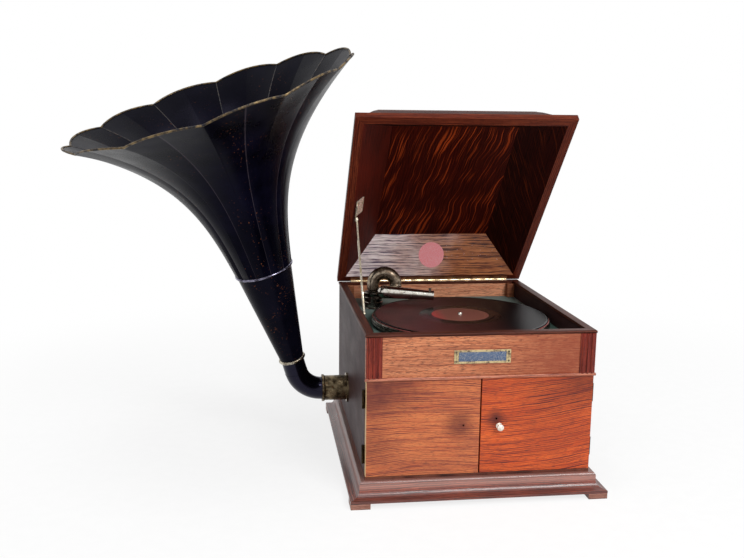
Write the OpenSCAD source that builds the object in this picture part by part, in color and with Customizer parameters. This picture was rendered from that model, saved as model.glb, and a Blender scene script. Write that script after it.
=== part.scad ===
// Table gramophone with a sloping storage lid and a side-mounted petal horn.
// Origin: on the floor, under the middle of the box. X right, front faces -Y, Z up.

/* [Cabinet] */
// Width of the box across its sides
body_w = 364; // [360:1:370]
// Depth of the box from front to back
body_d = 434; // [430:1:440]
// Height of the rim above the floor
body_h = 272; // [270:1:278]
// Thickness of the side boards
side_t = 12; // [11:0.5:13]
// Thickness of the doors and of the rail above them
front_t = 12; // [11:0.5:13]
// Height of the rim moulding
rim_t = 5; // [4.5:0.5:6]
// Width of the rim moulding seen from above
rim_w = 13; // [12:0.5:15]
// Underside of the box above the floor
floor_z = 30; // [29:0.5:31]
// Thickness of the bottom board
bottom_t = 12.4; // [11.4:0.5:12.4]
// Height of the rail above the doors
rail_h = 64; // [62:1:66]
// Depth of the cloth below the rim
board_drop = 32; // [31.5:0.5:32.5]
// Thickness of the motor board
board_t = 12; // [11:0.5:12]
// Thickness of the cloth
cloth_t = 1; // [0.8:0.1:1.2]

/* [Plinth] */
// How far the slab stands out past the box
slab_out = 24.5; // [23:0.5:26]
// Height of the feet
foot_h = 9.2; // [8:0.2:10]
// Side of the square feet
foot_w = 31; // [28:1:34]

/* [Doors] */
// Gap between the two doors
door_gap = 2.5; // [2:0.5:4]
// Gap above and below the doors
door_clear = 0.8; // [0.6:0.1:1.2]
// Diameter of the door knob
knob_d = 11.5; // [10:0.5:13]
// How far the doors open
door_open = 105; // [90:5:110]

/* [Lid] */
// How far the lid stands past each side
lid_over = 4; // [2:0.5:7]
// How far the lid stands past the front
lid_front = 6; // [2:1:12]
// Angle the lid stands open, measured from shut
lid_open = 47.3; // [44:0.1:50]
// Height of the hollow inside the lid
lid_hollow = 59; // [56:1:62]
// Gap between rim and lid when shut
lid_gap = 0.5; // [0.4:0.1:0.8]
// Radius of the hinge knuckle
knuckle_r = 3.4; // [3.2:0.1:3.6]
// Radius of the hinge pin
hinge_pin_r = 1.5; // [1.3:0.1:1.6]
// Number of hinge knuckles
knuckles = 13; // [11:2:15]
// Radius of the lid stay's rod
stay_r = 1.95; // [1.75:0.05:1.95]
// Length of the lid stay over its distance from the hinge
stay_ratio = 1.0353; // [1.02:0.0001:1.05]

/* [Turntable] */
// Radius of the record
record_r = 152.4; // [150:0.2:153]
// Radius of the platter
platter_r = 155; // [154.5:0.5:156]
// Radius of the spindle above the record
spindle_r = 3.6; // [3.5:0.05:3.7]
// Top of the record above the cloth
record_up = 17; // [16.5:0.5:17.5]

/* [Tone arm] */
// Outer radius of the bent neck
neck_r = 11.5; // [11:0.1:11.7]
// Radius of the neck's bend
neck_bend = 21; // [20.5:0.5:23]
// Outer radius of the arm at its round end
arm_r = 12.4; // [12:0.1:12.6]
// Outer radius of the arm at the sound box
arm_tip = 7.9; // [7.7:0.05:8.2]
// Slope of the arm down to the sound box
arm_slope = 3.1; // [2:0.1:4]
// Wall of the tubes
tube_wall = 1.6; // [1.4:0.1:1.8]
// Direction of the arm seen from above
arm_az = -10; // [-14:1:-6]

/* [Horn] */
// Radius of the mouth at the seams
mouth_r = 237; // [230:1:242]
// Length from the elbow's corner to the mouth
mouth_a = 541; // [530:1:550]
// Number of petals
petals = 12; // [12:1:12]
// How far each petal bulges past its seams
petal_depth = 7; // [5:0.5:9]
// Outer radius of the elbow
elbow_r = 20.4; // [20:0.1:20.8]
// Radius of the elbow's bend
elbow_bend = 48; // [46:1:50]
// Lean of the horn to the left
horn_lean = 16.05; // [14:0.05:18]
// Turn of the horn towards the front
horn_turn = 8.76; // [6:0.02:11]
// Thickness of the horn's sheet metal
horn_wall = 1.2; // [1:0.1:1.4]

/* [Motor] */
// Gear module of the barrel stage
module_a = 0.95; // [0.95:0.05:0.95]
// Gear module of the spindle stages
module_b = 0.8; // [0.8:0.1:0.8]
// Radius of the spring barrel
barrel_r = 35.5; // [34.5:0.25:35.75]
// Curls of the mainspring
spring_turns = 8; // [6:1:10]

/* [Fits] */
// Radial play of running pins
run_fit = 0.06; // [0.04:0.01:0.1]
// Gap between parts that pass each other
part_gap = 0.3; // [0.3:0.05:0.5]

/* [Hidden] */
$fn = 64;
hw = body_w / 2;
hd = body_d / 2;
board_z = body_h - board_drop;
record_z = board_z + record_up;
lid_w = body_w + 2 * lid_over;
lid_d = body_d + lid_front;
wall_z = floor_z + bottom_t;
rim_z0 = body_h - rim_t;
rail_z = rim_z0 - rail_h;
strip_h = 4.5;
door_z0 = wall_z + door_clear;
door_z1 = rail_z - strip_h - door_clear;
door_edge = 0.5;
inner_x = hw - side_t;
front_y = -hd;
front_in = -hd + front_t;
back_in = hd - side_t;
cloth_z = board_z - cloth_t;
board_z0 = cloth_z - board_t;

// Places on the motor board
sx = 7.5;
sy = front_y + 190;
arm_x = -hw + 55;
arm_y = hd - 97;
horn_y = hd - 164;
horn_z = board_z - 134.9;
horn_x = -hw - 84.1;

// Motor layout
barrel_teeth = 80;
pinion_teeth = 10;
wheel_teeth = 60;
worm_teeth = 60;
centre_a = module_a * (barrel_teeth + pinion_teeth) / 2;
centre_b = module_b * (wheel_teeth + pinion_teeth) / 2;
mid_az = 200;
mid_x = sx + centre_b * cos(mid_az);
mid_y = sy + centre_b * sin(mid_az);
barrel_az = 170;
bx = mid_x + centre_a * cos(barrel_az);
by = mid_y + centre_a * sin(barrel_az);
worm_wheel_r = 22;
worm_r = 4;
gov_x = sx + worm_wheel_r + worm_r + 0.4;
plate_t = 3;
plate_top = board_z - 18;
plate_low = plate_top - 62;
gov_z = plate_low + 15;
wind_z = plate_low - 15;
crown_r = 18;
bevel_r = 9;
arbor_r = 5;

// Lid placing: shut position, then turned open about the hinge pin
pin_y = hd;
pin_z = body_h + lid_gap / 2;
lid_z = body_h + lid_gap;
lhw = lid_w / 2;
rim_face = 15.4;
slope_in = rim_face + lid_hollow;
leaf_t = 1.2;
hinge_len = 319;
knuckle_len = hinge_len / knuckles;

// Lid stay
stay_s = 0.425 * lid_d;
stay_len = stay_s * stay_ratio;
stay_x = -inner_x + 7.25;
stay_t = 2.5;
stay_z = body_h - 10;
stay_pin_r = 2;
stay_top_y = pin_y - stay_s * cos(lid_open) + (1 + lid_gap / 2) * sin(lid_open);
stay_top_z = pin_z + stay_s * sin(lid_open) + (1 + lid_gap / 2) * cos(lid_open);
stay_dy = sqrt(stay_len * stay_len - (stay_top_z - stay_z) * (stay_top_z - stay_z));
stay_low_y = stay_top_y - stay_dy;
stay_shut_y = pin_y - stay_s - sqrt(stay_len * stay_len - pow(lid_z + 1 - stay_z, 2));
stay_ang = atan2(stay_top_z - stay_z, stay_dy);

module mitred_run(half_across, half_along, reach, back, height) {
    intersection() {
        translate([-half_along - reach - 1, -half_across, 0])
            rotate([90, 0, 90]) linear_extrude(2 * (half_along + reach + 1)) children();
        translate([0, 0, -1]) linear_extrude(height + 2) polygon([
            [-half_along + back, -half_across + back],
            [half_along - back, -half_across + back],
            [half_along + reach, -half_across - reach],
            [-half_along - reach, -half_across - reach]
        ]);
    }
}

// Profile points are [inward from the face, height]; the run is mitred on four sides
module moulded_frame(half_w, half_d, reach, back, height, pts) {
    for (side = [0 : 3]) {
        across = side % 2 == 0 ? half_d : half_w;
        along = side % 2 == 0 ? half_w : half_d;
        rotate([0, 0, 90 * side]) mitred_run(across, along, reach, back, height) polygon(pts);
    }
}

module countersunk_screw(r, h) {
    difference() {
        union() {
            translate([0, 0, -0.6 * r]) cylinder(h = 0.6 * r + h, r1 = 0.5 * r, r2 = r);
            translate([0, 0, -2.6 * r]) cylinder(h = 2.1 * r, r = 0.45 * r);
        }
        translate([-r * 1.2, -0.14 * r, h - 0.28 * r]) cube([2.4 * r, 0.28 * r, r]);
    }
}

function tooth_pts(n, m) = [
    for (i = [0 : n - 1], p = [
        [n / 2 - 1.15, -0.33], [n / 2, -0.21], [n / 2 + 0.9, -0.1],
        [n / 2 + 0.9, 0.1], [n / 2, 0.21], [n / 2 - 1.15, 0.33]
    ])
    [m * p[0] * cos((i + p[1]) * 360 / n), m * p[0] * sin((i + p[1]) * 360 / n)]
];

module gear(n, m, w, phase = 0) {
    rotate([0, 0, phase]) linear_extrude(w) polygon(tooth_pts(n, m));
}

module ring(r_out, r_in, h) {
    difference() {
        cylinder(h = h, r = r_out);
        translate([0, 0, -1]) cylinder(h = h + 2, r = r_in);
    }
}

module screw_at(x, y, z, r) {
    translate([x, y, z]) countersunk_screw(r, 0.3);
}

// Cabinet

module plinth_moulding() {
    color("#4a2418") moulded_frame(hw, hd, 30, 18, 60, [
        [18, foot_h], [-slab_out, foot_h], [-slab_out, foot_h + 3.8], [-22.8, foot_h + 4.6],
        [-18.6, foot_h + 5.4], [-14.6, foot_h + 7], [-11.8, foot_h + 9.4], [-10, foot_h + 12.6],
        [-9.3, foot_h + 16.3], [-9.3, floor_z + 4], [-8.8, floor_z + 6], [-7.8, floor_z + 7.3],
        [-6, floor_z + 8.4], [-0.02, floor_z + 8.4], [-0.02, floor_z], [18, floor_z]
    ]);
}

module corner_feet() {
    color("#35180f") for (sxn = [-1, 1], syn = [-1, 1])
        translate([sxn * (hw + slab_out - foot_w / 2) - foot_w / 2,
            syn * (hd + slab_out - foot_w / 2) - foot_w / 2, 0])
            cube([foot_w, foot_w, foot_h]);
}

module bottom_board() {
    color("#5b2d18") translate([-hw, -hd, floor_z]) cube([body_w, body_d, bottom_t]);
}

module side_board() {
    rotate([90, 0, 90]) linear_extrude(side_t) polygon([
        [front_in, wall_z], [hd, wall_z], [hd, rim_z0], [front_in, rim_z0]
    ]);
}

module side_left() {
    color("#4c211c") difference() {
        translate([-hw, 0, 0]) side_board();
        translate([-hw - 1, horn_y, horn_z]) rotate([0, 90, 0]) cylinder(h = side_t + 2, r = 22.6);
    }
}

module side_right() {
    color("#4c211c") difference() {
        translate([inner_x, 0, 0]) side_board();
        translate([inner_x - 1, by, wind_z]) rotate([0, 90, 0]) cylinder(h = side_t + 2, r = 8);
    }
}

module back_panel() {
    color("#4c211c") translate([-inner_x, back_in, wall_z])
        cube([2 * inner_x, side_t, rim_z0 - wall_z]);
}

module rear_posts() {
    color("#5a2a17") for (s = [-1, 1])
        translate([s * (inner_x - 7.25) - 7.25, back_in - 14, board_z])
            cube([14.5, 14, rim_z0 - board_z]);
}

module board_cleats() {
    color("#6b3a20") {
        for (s = [-1, 1]) translate([s * (inner_x - 6) - 6, front_in, board_z0 - 14])
            cube([12, back_in - front_in, 14]);
        translate([-inner_x + 12, back_in - 12, board_z0 - 14])
            cube([2 * inner_x - 24, 12, 14]);
    }
}

module front_rail() {
    color("#8a4a26") translate([-hw, front_y, rail_z - strip_h])
        cube([body_w, front_t, rail_h + strip_h]);
}

module pilasters() {
    color("#6b3320") for (s = [-1, 1]) {
        translate([s * (hw - 12.5) - 12.5, front_y - 1.5, rail_z]) cube([25, 1.5, rail_h]);
        for (k = [-1 : 1]) translate([s * (hw - 12.5) + k * 7.4, front_y - 1.2, rail_z])
            rotate([0, 0, 180]) rotate_extrude(angle = 180)
            polygon([[0, 0], [2.4, 0], [2.4, rail_h], [0, rail_h]]);
    }
}

module rail_strip() {
    color("#a25a30") translate([0, 0, rail_z - strip_h]) rotate([90, 0, 90])
        translate([0, 0, -hw - 2]) linear_extrude(body_w + 4)
        polygon([[front_y, 0], [front_y - 2.4, 0], [front_y - 3.6, 1.2], [front_y - 3.6, 3.2],
            [front_y - 2.4, strip_h], [front_y, strip_h]]);
}

module rim_moulding() {
    color("#7a4326") difference() {
        moulded_frame(hw, hd, 6, rim_w, body_h, [
            [rim_w, rim_z0], [-0.4, rim_z0], [-1.2, rim_z0 + 0.8], [-1.6, rim_z0 + 2.2],
            [-1.4, rim_z0 + 3.6], [-0.6, body_h - 0.4], [0.4, body_h], [rim_w, body_h]
        ]);
        translate([-hinge_len / 2 - 0.3, hd - 12, body_h - leaf_t])
            cube([hinge_len + 0.6, 20, leaf_t + 1]);
        translate([-hinge_len / 2 - 0.3, pin_y, pin_z]) rotate([0, 90, 0])
            cylinder(h = hinge_len + 0.6, r = knuckle_r + 0.3);
    }
}

module board_holes(z, h) {
    translate([sx, sy, z]) cylinder(h = h, r = 13);
    translate([arm_x, arm_y, z]) cylinder(h = h, r = 12.3);
    translate([lever_x + 11, lever_end_y - 5.5, z]) cube([34, 14, h]);
    translate([brake_x, brake_y, z]) cylinder(h = h, r = 3 + run_fit);
    for (p = motor_bolt_xy) translate([p[0], p[1], z]) cylinder(h = h, r = 2.6);
}

module motor_board() {
    color("#5f3a22") difference() {
        translate([-inner_x, front_in, board_z0])
            cube([2 * inner_x, back_in - front_in, board_t]);
        board_holes(board_z0 - 1, board_t + 2);
    }
}

module baize_cover() {
    color("#2f4f35") difference() {
        translate([-inner_x, front_in, cloth_z])
            cube([2 * inner_x, back_in - front_in, cloth_t]);
        board_holes(cloth_z - 1, cloth_t + 2);
    }
}

plate_w = 90;
plate_h = 21.5;
plate_z = rail_z + 20;

module nameplate() {
    color("#b08a3a") translate([0, front_y, plate_z]) difference() {
        translate([-plate_w / 2, -1.2, 0]) cube([plate_w, 1.2, plate_h]);
        translate([-plate_w / 2 + 7, -2, 3]) cube([plate_w - 14, 1.4, plate_h - 6]);
        for (s = [-1, 1], t = [0, 1]) translate([s * (plate_w / 2 - 3.4), -2,
            t * (plate_h - 6.8) + 3.4]) rotate([-90, 0, 0]) cylinder(h = 3, r = 0.75);
    }
}

module nameplate_screws() {
    color("#6e5a35") for (s = [-1, 1], t = [0, 1])
        translate([s * (plate_w / 2 - 3.4), front_y - 1.2, plate_z + 3.4 + t * (plate_h - 6.8)])
        rotate([90, 0, 0]) {
            cylinder(h = 0.8, r1 = 1.6, r2 = 1.1);
            translate([0, 0, -1.2]) cylinder(h = 1.3, r = 0.7);
        }
}

// Doors

hinge_h = 30;
hinge_zs = [door_z0 + 18.8, door_z1 - hinge_h - 15.7];
hinge_r = 2.3;
door_pin_x = hw + hinge_r + 0.15;
door_pin_y = front_in - 1.1;
knob_x = 30.4;
knob_z = (door_z0 + door_z1) / 2 - 0.65;

module door_panel() {
    difference() {
        translate([door_gap / 2, front_y, door_z0])
            cube([hw - door_edge - door_gap / 2, front_t - 0.4, door_z1 - door_z0]);
        for (z = hinge_zs) {
            translate([hw - 14, front_in - 2.4, z - 0.2]) cube([20, 3, hinge_h + 0.4]);
        }
    }
}

module door_left() {
    color("#8f4d27") difference() {
        mirror([1, 0, 0]) door_panel();
        translate([-26.9, front_y - 1, knob_z + 2.6]) rotate([-90, 0, 0]) cylinder(h = 7, r = 1.6);
    }
}

module door_right() {
    color("#8f4d27") difference() {
        door_panel();
        translate([knob_x, front_y - 1, knob_z]) rotate([-90, 0, 0]) cylinder(h = front_t, r = 1.8);
        translate([knob_x - 4.6, front_y - 1, knob_z + 12.1]) rotate([-90, 0, 0]) cylinder(h = 7, r = 1.7);
    }
}

module door_knob() {
    color("#9c7a3c") translate([knob_x, front_y, knob_z]) rotate([90, 0, 0]) {
        rotate_extrude() polygon([[0, -9], [1.7, -9], [1.7, 0], [knob_d / 2 - 0.6, 0],
            [knob_d / 2 - 0.6, 1], [2.6, 1.8], [2.4, 5], [knob_d / 2 - 1, 6.4],
            [knob_d / 2, 8.4], [knob_d / 2 - 0.5, 10.4], [3, 11.8], [0, 12.2]]);
    }
}

module leaf_knuckles(z0, list) {
    for (k = list) translate([door_pin_x, door_pin_y, z0 + k * hinge_h / 5 + 0.1])
        cylinder(h = hinge_h / 5 - 0.2, r = hinge_r);
}

module side_leaf(z) {
    difference() {
        union() {
            translate([hw - 11, front_in - 1, z]) cube([12, 1, hinge_h]);
            leaf_knuckles(z, [0, 2, 4]);
        }
        for (k = [1, 3]) translate([door_pin_x, door_pin_y, z + k * hinge_h / 5 - 0.1])
            cylinder(h = hinge_h / 5 + 0.2, r = hinge_r + 0.3);
    }
    translate([door_pin_x, door_pin_y, z - 0.8]) cylinder(h = hinge_h + 1.6, r = 0.85);
}

module door_leaf(z) {
    difference() {
        union() {
            translate([hw - 13, front_in - 2.2, z]) cube([14, 1, hinge_h]);
            leaf_knuckles(z, [1, 3]);
        }
        for (k = [0, 2, 4]) translate([door_pin_x, door_pin_y, z + k * hinge_h / 5 - 0.1])
            cylinder(h = hinge_h / 5 + 0.2, r = hinge_r + 0.3);
        translate([door_pin_x, door_pin_y, z - 1]) cylinder(h = hinge_h + 2, r = 0.85 + run_fit);
    }
}

module door_side_leaves() {
    color("#a98a4a") for (s = [0, 1], z = hinge_zs) mirror([s, 0, 0]) side_leaf(z);
}

module door_right_leaves() {
    color("#a98a4a") for (z = hinge_zs) door_leaf(z);
}

module door_left_leaves() {
    color("#a98a4a") for (z = hinge_zs) mirror([1, 0, 0]) door_leaf(z);
}

// Lid, drawn shut and turned open about the hinge pin

module opened() {
    translate([0, pin_y, pin_z]) rotate([-lid_open, 0, 0]) translate([0, -pin_y, -pin_z])
        children();
}

module lid_walls() {
    color("#6a3a20") opened() difference() {
        translate([0, pin_y - lid_d / 2, lid_z]) moulded_frame(lhw, lid_d / 2, 2, slope_in,
            lid_hollow + 10, [
            [0, 0], [0, 10.2], [0.6, 11.6], [2.4, 12.6], [8.4, 13], [14.6, 21.4], [22.7, 33],
            [26.6, 38.4], [32.4, 47.6], [39, 58], [44.8, 65.8], [slope_in, lid_hollow + 7],
            [slope_in, lid_hollow], [rim_face, 0]
        ]);
        translate([-hinge_len / 2 - 0.3, pin_y - 12, lid_z - 1])
            cube([hinge_len + 0.6, 20, leaf_t + 1]);
        translate([-hinge_len / 2 - 0.3, pin_y, pin_z]) rotate([0, 90, 0])
            cylinder(h = hinge_len + 0.6, r = knuckle_r + 0.3);
    }
}

module lid_top_board() {
    color("#8a4c28") opened() translate([0, pin_y - lid_d / 2, lid_z]) {
        moulded_frame(lhw, lid_d / 2, 2, 66, 90, [
            [46, lid_hollow + 7], [46.6, lid_hollow + 9.6], [48.6, lid_hollow + 12],
            [50.4, lid_hollow + 12.6], [50.8, lid_hollow + 14.6], [52.6, lid_hollow + 15.4],
            [66, lid_hollow + 15.4], [66, lid_hollow + 7]
        ]);
        translate([-lhw + 65, -lid_d / 2 + 65, lid_hollow + 7])
            cube([lid_w - 130, lid_d - 130, 8.4]);
    }
}

module lid_ceiling() {
    color("#3c1c12") opened()
        translate([-lhw + slope_in, pin_y - lid_d + slope_in, lid_z + lid_hollow])
        cube([lid_w - 2 * slope_in, lid_d - 2 * slope_in, 7]);
}

module lid_sticker() {
    color("#b5372b") opened() translate([1, pin_y - (rim_face + slope_in) / 2,
        lid_z + lid_hollow / 2]) rotate([-45, 0, 0]) translate([0, 0, -0.25])
        cylinder(h = 0.25, r = 25.5);
}

module hinge_knuckle_run(first) {
    for (k = [first : 2 : knuckles - 1])
        translate([-hinge_len / 2 + k * knuckle_len + 0.2, pin_y, pin_z]) rotate([0, 90, 0])
            cylinder(h = knuckle_len - 0.4, r = knuckle_r);
}

module hinge_leaf(first, z0) {
    difference() {
        union() {
            translate([-hinge_len / 2, pin_y - 11.6, z0]) cube([hinge_len, 11.6, leaf_t]);
            hinge_knuckle_run(first);
        }
        for (k = [1 - first : 2 : knuckles - 1])
            translate([-hinge_len / 2 + k * knuckle_len - 0.1, pin_y, pin_z]) rotate([0, 90, 0])
            cylinder(h = knuckle_len + 0.2, r = knuckle_r + 0.25);
        for (x = hinge_screw_x) translate([x, pin_y - 7.4, z0 - 0.5]) cylinder(h = 3, r = 1.9);
        children();
    }
}

hinge_screw_x = [-145, -97, -48, 0, 48, 97, 145];

module box_hinge_leaf() {
    color("#b6a36a") {
        hinge_leaf(0, body_h - leaf_t);
        translate([-hinge_len / 2 + 1, pin_y, pin_z]) rotate([0, 90, 0])
            cylinder(h = hinge_len - 2, r = hinge_pin_r);
    }
}

module lid_hinge_leaf() {
    color("#b6a36a") opened() hinge_leaf(1, lid_z)
        translate([-hinge_len / 2 - 1, pin_y, pin_z]) rotate([0, 90, 0])
        cylinder(h = hinge_len + 2, r = hinge_pin_r + run_fit);
}

module box_hinge_screws() {
    color("#5a5348") for (x = hinge_screw_x) translate([x, pin_y - 7.4, body_h - leaf_t])
        cylinder(h = leaf_t, r = 1.88);
}

module lid_hinge_screws() {
    color("#5a5348") opened() for (x = hinge_screw_x) translate([x, pin_y - 7.4, lid_z])
        cylinder(h = leaf_t, r = 1.88);
}

module stay_bracket() {
    color("#8f8a7c") opened() {
        translate([0, pin_y - stay_s, lid_z + 1]) rotate([0, 90, 0]) {
            translate([0, 0, stay_x - 3.2]) cylinder(h = 5.8, r = stay_pin_r);
            translate([0, 0, stay_x - 3.2]) cylinder(h = 1.6, r = 3.2);
        }
        translate([stay_x - 3.2, pin_y - stay_s - 40, lid_z - 2]) cube([1.6, 40, 6.1]);
        translate([0, pin_y - stay_s - 5.2, lid_z]) rotate([90, 0, 0]) linear_extrude(39.8) polygon([
            [-lhw + rim_face + 4, 3.7], [-lhw + rim_face + 17, 16.7],
            [-lhw + rim_face + 19, 16.7], [stay_x - 1.6, 4.2], [stay_x - 1.6, 2],
            [stay_x - 3.2, 2]
        ]);
    }
}

module stay_rod() {
    color("#a9a59a") translate([0, stay_top_y, stay_top_z]) rotate([stay_ang, 0, 0]) {
        difference() {
            union() {
                translate([stay_x, -45, 0]) rotate([90, 0, 0])
                    cylinder(h = stay_len - 45, r = stay_r);
                translate([stay_x - stay_t / 2, -48, -2.5]) cube([stay_t, 48, 5]);
                for (y = [0, -stay_len]) translate([stay_x - stay_t / 2, y, 0])
                    rotate([0, 90, 0]) cylinder(h = stay_t, r = 4.6);
                translate([stay_x, -stay_len + 42, 0]) rotate([0, 90, 0]) cylinder(h = 3, r = 2);
            }
            translate([stay_x - 3, 0, 0]) rotate([0, 90, 0])
                cylinder(h = 6, r = stay_pin_r + run_fit);
        }
        translate([stay_x - 5.5, -stay_len, 0]) rotate([0, 90, 0])
            cylinder(h = 5.5, r = stay_pin_r);
    }
}

module stay_track() {
    color("#a98a4a") difference() {
        translate([-inner_x, stay_shut_y - 8, stay_z - 5.5])
            cube([5, stay_low_y - stay_shut_y + 16, 10.4]);
        translate([-inner_x + 1.4, stay_shut_y - 3.6, stay_z - 3])
            cube([5, stay_low_y - stay_shut_y + 7.2, 6]);
    }
}

// Turntable

felt_t = 1;
record_t = 2.2;
felt_z = record_z - record_t - felt_t;

module platter() {
    color("#b9b4aa") translate([sx, sy, 0]) rotate_extrude($fn = 128) polygon([
        [spindle_r + 0.05, felt_z - 8], [14, felt_z - 8], [14, felt_z - 3],
        [platter_r - 5, felt_z - 3], [platter_r - 3, felt_z - 4.4],
        [platter_r - 3, felt_z - 10], [platter_r - 1.2, felt_z - 10.6],
        [platter_r, felt_z - 10], [platter_r, felt_z - 7.8], [platter_r - 0.8, felt_z - 7.2],
        [platter_r, felt_z - 6.4], [platter_r, felt_z - 3.6], [platter_r - 0.8, felt_z - 3],
        [platter_r, felt_z - 2.2], [platter_r, felt_z - 1], [platter_r - 1, felt_z],
        [spindle_r + 0.05, felt_z]
    ]);
}

module platter_felt() {
    color("#8e3a2c") translate([sx, sy, felt_z]) ring(record_r + 0.8, spindle_r + 0.1, felt_t);
}

module record() {
    color("#15100f") translate([sx, sy, 0]) rotate_extrude($fn = 128) polygon([
        [spindle_r + 0.05, record_z - record_t], [record_r - 0.5, record_z - record_t],
        [record_r, record_z - record_t + 0.5], [record_r, record_z - 0.5],
        [record_r - 0.6, record_z], [record_r - 3, record_z], [record_r - 3.4, record_z - 0.2],
        [60, record_z - 0.2], [58, record_z], [spindle_r + 0.05, record_z]
    ]);
}

module record_label() {
    color("#5a1e22") translate([sx, sy, record_z]) ring(50, spindle_r + 0.1, 0.15);
}

module turntable_spindle() {
    color("#cfcac0") translate([sx, sy, 0]) {
        rotate_extrude() polygon([
            [0, plate_low - 2], [1.6, plate_low - 1], [1.6, plate_low + plate_t + 1],
            [3, plate_low + plate_t + 1], [3, plate_top + 4], [4.2, plate_top + 4],
            [4.2, felt_z - 9.6], [9, felt_z - 9.6], [9, felt_z - 8], [spindle_r, felt_z - 8],
            [spindle_r, record_z + 2.4], [spindle_r - 0.8, record_z + 4],
            [1.4, record_z + 4.9], [0, record_z + 5]
        ]);
        translate([0, 0, plate_top - 11.5]) gear(pinion_teeth, module_b, 5.5, mid_az + 180 / pinion_teeth);
        translate([0, 0, gov_z - 3]) difference() {
            gear(worm_teeth, 2 * worm_wheel_r / worm_teeth, 6, 180 / worm_teeth);
            for (k = [0 : 4]) rotate([0, 0, 72 * k + 20]) translate([12, 0, -1])
                cylinder(h = 8, r = 5);
        }
        translate([0, 0, gov_z - 6]) cylinder(h = 12, r = 6);
    }
}

// Tone arm

elbow_c = neck_r + 0.3;
hub_z = board_z + 34.5;
neck_z = hub_z + elbow_c;
arm_off = neck_r + arm_r + 2.3;
ux = cos(arm_az);
uy = sin(arm_az);
bore_r = neck_r - tube_wall;
spigot_r = 7.6;

module tonearm_base() {
    color("#6d6a66") translate([arm_x, arm_y, 0]) rotate_extrude() polygon([
        [8, board_z0 - 8], [12, board_z0 - 8], [12, board_z], [20.5, board_z],
        [20.5, board_z + 1.4], [19.2, board_z + 2.4], [17.2, board_z + 3], [17.2, board_z + 8],
        [18.4, board_z + 9], [18.4, board_z + 12], [17.2, board_z + 13],
        [17.2, board_z + 17], [18.4, board_z + 18], [18.4, board_z + 21],
        [17.4, board_z + 22], [17.4, board_z + 23.6],
        [12, board_z + 23.6], [12, board_z + 18], [8, board_z + 18]
    ]);
}

module tonearm_cap() {
    color("#26262a") translate([arm_x, arm_y, 0]) rotate_extrude() polygon([
        [8.3, board_z + 28], [8.3, board_z + 31.8], [13, board_z + 31.8],
        [15.8, board_z + 30.8], [17.2, board_z + 29], [17.2, board_z + 24.6],
        [16.6, board_z + 23.6], [11.9, board_z + 23.6], [11.9, board_z + 28]
    ]);
}

module neck_frame() {
    translate([arm_x, arm_y, 0]) rotate([0, 0, arm_az]) children();
}

module neck_path(r, r_leg, z_leg, spigot, spigot_end) {
    translate([0, 0, z_leg]) cylinder(h = board_z + 32.1 - z_leg, r = r_leg);
    translate([0, 0, board_z + 32.1]) cylinder(h = 3.5, r1 = r_leg, r2 = r);
    translate([0, 0, board_z + 35.6]) cylinder(h = neck_z - board_z - 35.6, r = r);
    translate([neck_bend, 0, neck_z]) rotate([90, 0, 0])
        rotate_extrude(angle = 180) translate([neck_bend, 0]) circle(r = r);
    translate([2 * neck_bend, -elbow_c, neck_z]) rotate([0, 90, 0])
        rotate_extrude(angle = 90) translate([elbow_c, 0]) circle(r = r);
    translate([2 * neck_bend, -elbow_c, hub_z]) rotate([90, 0, 0])
        cylinder(h = spigot_end - elbow_c, r = spigot);
}

module tonearm_neck() {
    color("#8d7f6d") neck_frame() difference() {
        union() {
            neck_path(neck_r, 8, board_z + 18.1, spigot_r, elbow_c + 7);
            translate([0, 0, board_z + 18.1]) cylinder(h = 9.8, r = 11.9 - run_fit);
            translate([2 * neck_bend, -elbow_c, hub_z]) rotate([90, 0, 0])
                cylinder(h = 1.2, r = neck_r + 0.3);
        }
        neck_path(bore_r, 6.2, board_z + 17, 6, elbow_c + 8);
    }
}

arm_back = 20.5;
arm_front = 72;

module arm_frame() {
    neck_frame() translate([2 * neck_bend, -arm_off, hub_z]) children();
}

module arm_cone(r0, r1) {
    translate([-arm_back, 0, 0]) rotate([0, 90, 0])
        cylinder(h = arm_back + arm_front, r1 = r0, r2 = r1);
    translate([-arm_back, 0, 0]) sphere(r = r0);
}

module arm_tube() {
    color("#c9c4ba") arm_frame() difference() {
        union() {
            rotate([0, arm_slope, 0]) {
                arm_cone(arm_r, arm_tip);
                translate([arm_front - 13, 0, 0]) rotate([0, 90, 0])
                    cylinder(h = 13, r = arm_tip + 0.9);
                translate([arm_front - 8, 0, 0]) cylinder(h = arm_tip + 3, r = 2.6);
            }
            rotate([-90, 0, 0]) cylinder(h = arm_off - elbow_c - 1.6, r = 9.9);
        }
        rotate([0, arm_slope, 0]) {
            arm_cone(arm_r - tube_wall, arm_tip - tube_wall - 0.4);
            translate([arm_front - 20, 0, 0]) rotate([0, 90, 0])
                cylinder(h = 30, r = arm_tip - tube_wall + 0.05);
            translate([arm_front - 8, 0, 0]) cylinder(h = arm_tip + 5, r = 1.2);
        }
        rotate([-90, 0, 0]) cylinder(h = arm_off, r = spigot_r + run_fit);
    }
}

module arm_screw() {
    color("#5a4b3a") arm_frame() rotate([0, arm_slope, 0]) translate([arm_front - 8, 0, 0])
        difference() {
            union() {
                translate([0, 0, arm_tip - tube_wall + 0.07]) cylinder(h = 5.4, r = 1.15);
                translate([0, 0, arm_tip + 3]) cylinder(h = 2.2, r = 2.4);
            }
            translate([-3, -0.35, arm_tip + 4.3]) cube([6, 0.7, 2]);
        }
}

// Sound duct from the tone arm to the collar

duct_r = 16;
duct_in = 14.4;
duct_a = 30;
duct_b = arm_y - duct_a - horn_y;

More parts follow.
